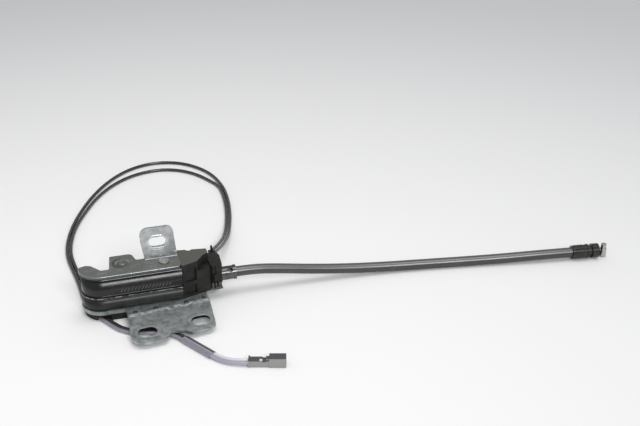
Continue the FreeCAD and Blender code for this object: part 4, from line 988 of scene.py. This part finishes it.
@dataclass
class Part:
    """A sub-assembly, which dresses CAD nodes or adds its own detail.

    Attributes:
        frame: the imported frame.
        library: all materials.
        pieces: names of the pieces made or dressed so far.
    """

    frame: dict
    library: Library
    pieces: list = field(default_factory=list)

    def fix(self, piece: bpy.types.Object, slot: str) -> None:
        """Put a new piece into the scene, dress it and fix it to the latch's body.

        Args:
            piece: the new object.
            slot: the record's material slot.
        """
        bpy.context.scene.collection.objects.link(piece)
        self.library.dress(piece, slot)
        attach(piece, BODY)
        self.pieces.append(piece.name)

    def add(self, name: str, shape: tuple, slot: str) -> None:
        """Make a mesh piece.

        Args:
            name: the piece's name.
            shape: its points and faces.
            slot: the record's material slot.
        """
        points, faces = shape
        mesh = bpy.data.meshes.new(name)
        mesh.from_pydata(np.asarray(points).tolist(), [], faces)
        mesh.polygons.foreach_set("use_smooth", [True] * len(mesh.polygons))
        self.fix(bpy.data.objects.new(name, mesh), slot)

    def add_cord(self, name: str, route: tuple, diameter: float, slot: str, node: str) -> bpy.types.Object:
        """Make a smooth round cord along given control points.

        Args:
            name: the cord's name.
            route: the control points in metres.
            diameter: the cord's thickness.
            slot: the record's material slot.
            node: the CAD node that it stands in for.

        Returns:
            The cord as a curve object.
        """
        data = bpy.data.curves.new(name, "CURVE")
        data.dimensions = "3D"
        data.bevel_depth = diameter / 2
        data.bevel_resolution = 6
        data.resolution_u = 12
        data.use_fill_caps = True
        spline = data.splines.new("NURBS")
        spline.points.add(len(route) - 1)
        spline.points.foreach_set("co", np.column_stack([route, np.ones(len(route))]).ravel())
        spline.order_u = 3
        spline.use_endpoint_u = True
        cord = bpy.data.objects.new(name, data)
        self.fix(cord, slot)
        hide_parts(node)
        return cord


@dataclass
class Plates(Part):
    """Marks that stamping and riveting leave on the steel plates, in millimetres."""

    flange_slope: float = 5.5
    slot_starts: tuple = (7.5, 43.2)
    slot_down: float = 20.6
    lip_radius: float = 4.95
    lip_half_straight: float = 1.7
    lip_section: tuple = (0.30, 0.12)
    dart_radius: float = 1.25
    dart_height: float = 0.5
    tab_thick: float = 2.0
    tab_ring_radius: float = 4.3
    tab_ring_half_straight: float = 2.5
    tab_ring_section: tuple = (0.50, 0.26)
    rivet_ring_radius: float = 2.3
    rivet_ring_section: tuple = (0.22, 0.10)
    rivet_top: float = 34.7

    def build(self) -> None:
        """Add every mark."""
        self.add_slot_lips()
        self.add_darts()
        self.add_tab_ring()
        self.add_rivet_rings()

    def add_slot_lips(self) -> None:
        """Raise a thin pressed lip round each slot of the flange."""
        slope = math.radians(self.flange_slope)
        along = np.array([math.cos(FLANGE_YAW), math.sin(FLANGE_YAW), 0.0])
        across = np.array(FOLD_ACROSS) * math.cos(slope) + np.array([0.0, 0.0, math.sin(slope)])
        normal = np.cross(along, across)
        for number, start in enumerate(self.slot_starts):
            centre = np.array(FLANGE_CORNER) + (along * start - across * self.slot_down) * MM
            loop = stadium_loop(centre, along, across, self.lip_half_straight * MM, self.lip_radius * MM)
            half_width, height = (size * MM for size in self.lip_section)
            shape = carried(loop, normal, half_width, height, Section.ROUND, True)
            self.add(f"flange_slot_lip_{number}", shape, "galvanised_plate")

    def add_darts(self) -> None:
        """Press four small domes into the fold; a dome's height falls as the cosine of its spread."""
        spread = np.linspace(0.98, 0.02, 9) * math.pi / 2
        profile = np.stack([np.sin(spread), np.cos(spread)], axis=1)
        profile *= np.array([self.dart_radius, self.dart_height]) * MM
        for number, (x, y) in enumerate(FOLD_DARTS):
            centre = np.array([x, y, FLANGE_CORNER[2]])
            shape = turned(profile, centre, np.array([0.0, 0.0, 1.0]), 20)
            self.add(f"fold_dart_{number}", shape, "galvanised_plate")

    def add_tab_ring(self) -> None:
        """Raise an oval bead round the tab's slot on its front."""
        along = np.array([1.0, 0.0, 0.0])
        rise = np.array([0.0, math.cos(TAB_LEAN), math.sin(TAB_LEAN)])
        front = np.cross(along, rise)
        centre = np.array([TAB_SLOT_X, *TAB_FOOT]) + rise * TAB_SLOT_UP + front * self.tab_thick * MM
        loop = stadium_loop(centre, along, rise, self.tab_ring_half_straight * MM, self.tab_ring_radius * MM)
        half_width, height = (size * MM for size in self.tab_ring_section)
        self.add("tab_slot_bead", carried(loop, front, half_width, height, Section.ROUND, True), "zinc_plate")

    def add_rivet_rings(self) -> None:
        """Leave the riveting tool's ring on both rivet heads."""
        turn = np.linspace(0.0, 2 * math.pi, 32, endpoint=False)
        ring = np.stack([np.cos(turn), np.sin(turn), turn * 0], axis=1) * self.rivet_ring_radius * MM
        half_width, height = (size * MM for size in self.rivet_ring_section)
        for name, (x, y, _) in (("fork", EAR_RIVET), ("pawl", PAWL_RIVET)):
            loop = ring + np.array([x, y, self.rivet_top * MM])
            shape = carried(loop, np.array([0.0, 0.0, 1.0]), half_width, height, Section.ROUND, True)
            self.add(f"{name}_rivet_ring", shape, "rivet_steel")


@dataclass
class Casings(Part):
    """Raised lines of the two glossy mouldings and of the rear housing, in millimetres."""

    front_y: float = -14.3
    nose_x: float = -15.0
    nose_y: float = -1.2
    nose_radius: float = 13.1
    end_x: float = 36.6
    bead_heights: tuple = (18.7, 15.1)
    bead_section: tuple = (0.28, 0.16)
    rib_first_x: float = -4.0
    rib_spacing: float = 2.3
    rib_count: int = 15
    rib_low: float = 20.0
    rib_tall: float = 2.6
    rib_lean: float = 1.9
    rib_section: tuple = (0.36, 0.16)
    panel_corner: tuple = (39.4, -13.55)
    panel_yaw: float = 20.3
    panel_width: float = 8.6
    panel_levels: tuple = ((9.8, 16.0), (19.2, 28.5))
    frame_gap: float = 0.4
    frame_section: tuple = (0.35, 0.22)

    def build(self) -> None:
        """Add the beads, the slanting ribs and the frames of the housing's panels."""
        self.add_beads()
        self.add_ribs()
        self.add_panel_frames()

    def add_beads(self) -> None:
        """Run a thin bead along each moulding's front, straight to the nose and round it as an arc."""
        straight = np.linspace(self.end_x, self.nose_x, 12)[:-1]
        turn = np.linspace(-90.0, -185.0, 20) * math.pi / 180
        front = np.stack([straight, np.full(len(straight), self.front_y)], axis=1)
        round_nose = np.stack([np.cos(turn), np.sin(turn)], axis=1)
        nose = np.array([self.nose_x, self.nose_y]) + self.nose_radius * round_nose
        flat = np.concatenate([front, nose])
        out = np.concatenate([np.tile([0.0, -1.0], (len(straight), 1)), round_nose])
        out = np.column_stack([out, np.zeros(len(out))])
        half_width, height = (size * MM for size in self.bead_section)
        for number, (z, slot) in enumerate(zip(self.bead_heights, ("gloss_casing", "lower_casing"))):
            path = np.column_stack([flat, np.full(len(flat), z)]) * MM
            shape = carried(path, out, half_width, height, Section.FLAT, False)
            self.add(f"casing_bead_{number}", shape, slot)

    def add_ribs(self) -> None:
        """Mould short straight ribs, all at one slant, low on the upper casing's front."""
        steps = np.linspace(0.0, 1.0, 5)[:, None]
        half_width, height = (size * MM for size in self.rib_section)
        for number in range(self.rib_count):
            foot = np.array([self.rib_first_x + number * self.rib_spacing, self.front_y, self.rib_low])
            path = (foot + steps * np.array([self.rib_lean, 0.0, self.rib_tall])) * MM
            shape = carried(path, np.array([0.0, -1.0, 0.0]), half_width, height, Section.ROUND, False)
            self.add(f"casing_rib_{number}", shape, "gloss_casing")

    def add_panel_frames(self) -> None:
        """Raise a frame round each sunk panel of the rear housing.

        A side runs straight from just past one corner to just before the next one, which cuts
        the corners off.
        """
        yaw = math.radians(self.panel_yaw)
        along = np.array([math.cos(yaw), math.sin(yaw), 0.0])
        out = np.array([math.sin(yaw), -math.cos(yaw), 0.0])
        gap = self.frame_gap
        half_width, height = (size * MM for size in self.frame_section)
        share = np.linspace(0.04, 0.96, 6)[:, None]
        for number, (low, high) in enumerate(self.panel_levels):
            left, right, bottom, top = -gap, self.panel_width + gap, low - gap, high + gap
            corners = np.array([(left, bottom), (right, bottom), (right, top), (left, top)])
            ends = np.roll(corners, -1, axis=0)
            flat = np.concatenate([here + (there - here) * share for here, there in zip(corners, ends)])
            path = np.array([*self.panel_corner, 0.0]) + flat[:, :1] * along
            path[:, 2] += flat[:, 1]
            shape = carried(path * MM, out, half_width, height, Section.FLAT, True)
            self.add(f"housing_panel_frame_{number}", shape, "matte_moulding")


@dataclass
class ReleaseCable(Part):
    """Sheathed cable and the crimps of its far ferrule, in millimetres."""

    crimp_places: tuple = (2.6, 5.0, 7.4)
    crimp_radius: float = 4.9
    crimp_height: float = 0.24
    crimp_half_length: float = 0.5

    def build(self) -> None:
        """Make the sheath along its route, and the crimps."""
        sheath = self.add_cord("release_sheath", CABLE_ROUTE, CABLE_DIAMETER, "sheath", "release_cable")
        self.add_crimps()

    def add_crimps(self) -> None:
        """Leave crimp ridges round the far ferrule's sleeve; a ridge is half an ellipse."""
        end = np.array(CABLE_ROUTE[-1])
        ahead = end - np.array(CABLE_ROUTE[-2])
        ahead /= np.linalg.norm(ahead)
        reach = np.linspace(-1.0, 1.0, 7)
        # Both ends stop just short of the ellipse's own, so that they don't lie in the sleeve's skin.
        ridge = self.crimp_radius + self.crimp_height * np.sqrt(1.0 - (reach * 0.98) ** 2)
        profile = np.stack([ridge, reach * self.crimp_half_length], axis=1) * MM
        for number, place in enumerate(self.crimp_places):
            shape = turned(profile, end + ahead * place * MM, ahead)
            self.add(f"ferrule_crimp_{number}", shape, "black_ferrule")


@dataclass
class SwitchLead(Part):
    """The two thin leads, and the teeth of the tie that holds them, in millimetres."""

    tooth_places: tuple = (26.2, 26.8, 27.4, 28.0, 28.6)
    tooth_x: tuple = (62.7, 63.7)
    tooth_y: tuple = (12.9, 15.3)
    tooth_section: tuple = (0.20, 0.18)

    def build(self) -> None:
        """Make both leads along their routes, and the tie's teeth."""
        for colour, route, length, fitted in (
            ("grey", GREY_ROUTE, GREY_LENGTH, ["lead_sleeve", "plug_housing", "plug_latch"]),
            ("black", BLACK_ROUTE, BLACK_LENGTH, ["plug_terminals"]),
        ):
            node = f"{colour}_lead"
            lead = self.add_cord(f"{node}_wire", route, LEAD_DIAMETER, f"{colour}_insulation", node)
        self.add_teeth()

    def add_teeth(self) -> None:
        """Cut ratchet teeth across both sides of the tie's tail."""
        half_width, height = (size * MM for size in self.tooth_section)
        across = np.linspace(*self.tooth_y, 3)
        for name, side, x in zip(("left", "right"), (-1.0, 1.0), self.tooth_x):
            for number, z in enumerate(self.tooth_places):
                path = np.stack([np.full(3, x), across, np.full(3, z)], axis=1) * MM
                shape = carried(path, np.array([side, 0.0, 0.0]), half_width, height, Section.ROUND, False)
                self.add(f"tie_tooth_{name}_{number}", shape, "switch_plastic")


@dataclass
class Mechanism(Part):
    """CAD pieces that keep their shape and get their real finish."""

    def build(self) -> None:
        """Dress every CAD node from the record's slots."""
        for entry in self.frame["record"]["subparts"]:
            node = self.frame["nodes"].get(entry["node"])
            if node is not None and entry["material_slot"] in self.library.surfaces:
                self.library.dress(node, entry["material_slot"])
                self.pieces.append(entry["node"])


def main() -> None:
    """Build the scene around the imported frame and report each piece."""
    logging.basicConfig(level=logging.INFO)
    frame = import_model()
    bpy.context.scene.view_settings.view_transform = "Standard"
    Studio(Camera()).build()
    library = Library()
    for kind in (Mechanism, Plates, Casings, ReleaseCable, SwitchLead):
        part = kind(frame, library)
        part.build()
        for piece in part.pieces:
            LOG.info("%s: %s", kind.__name__, piece)


if __name__ == "__main__":
    main()
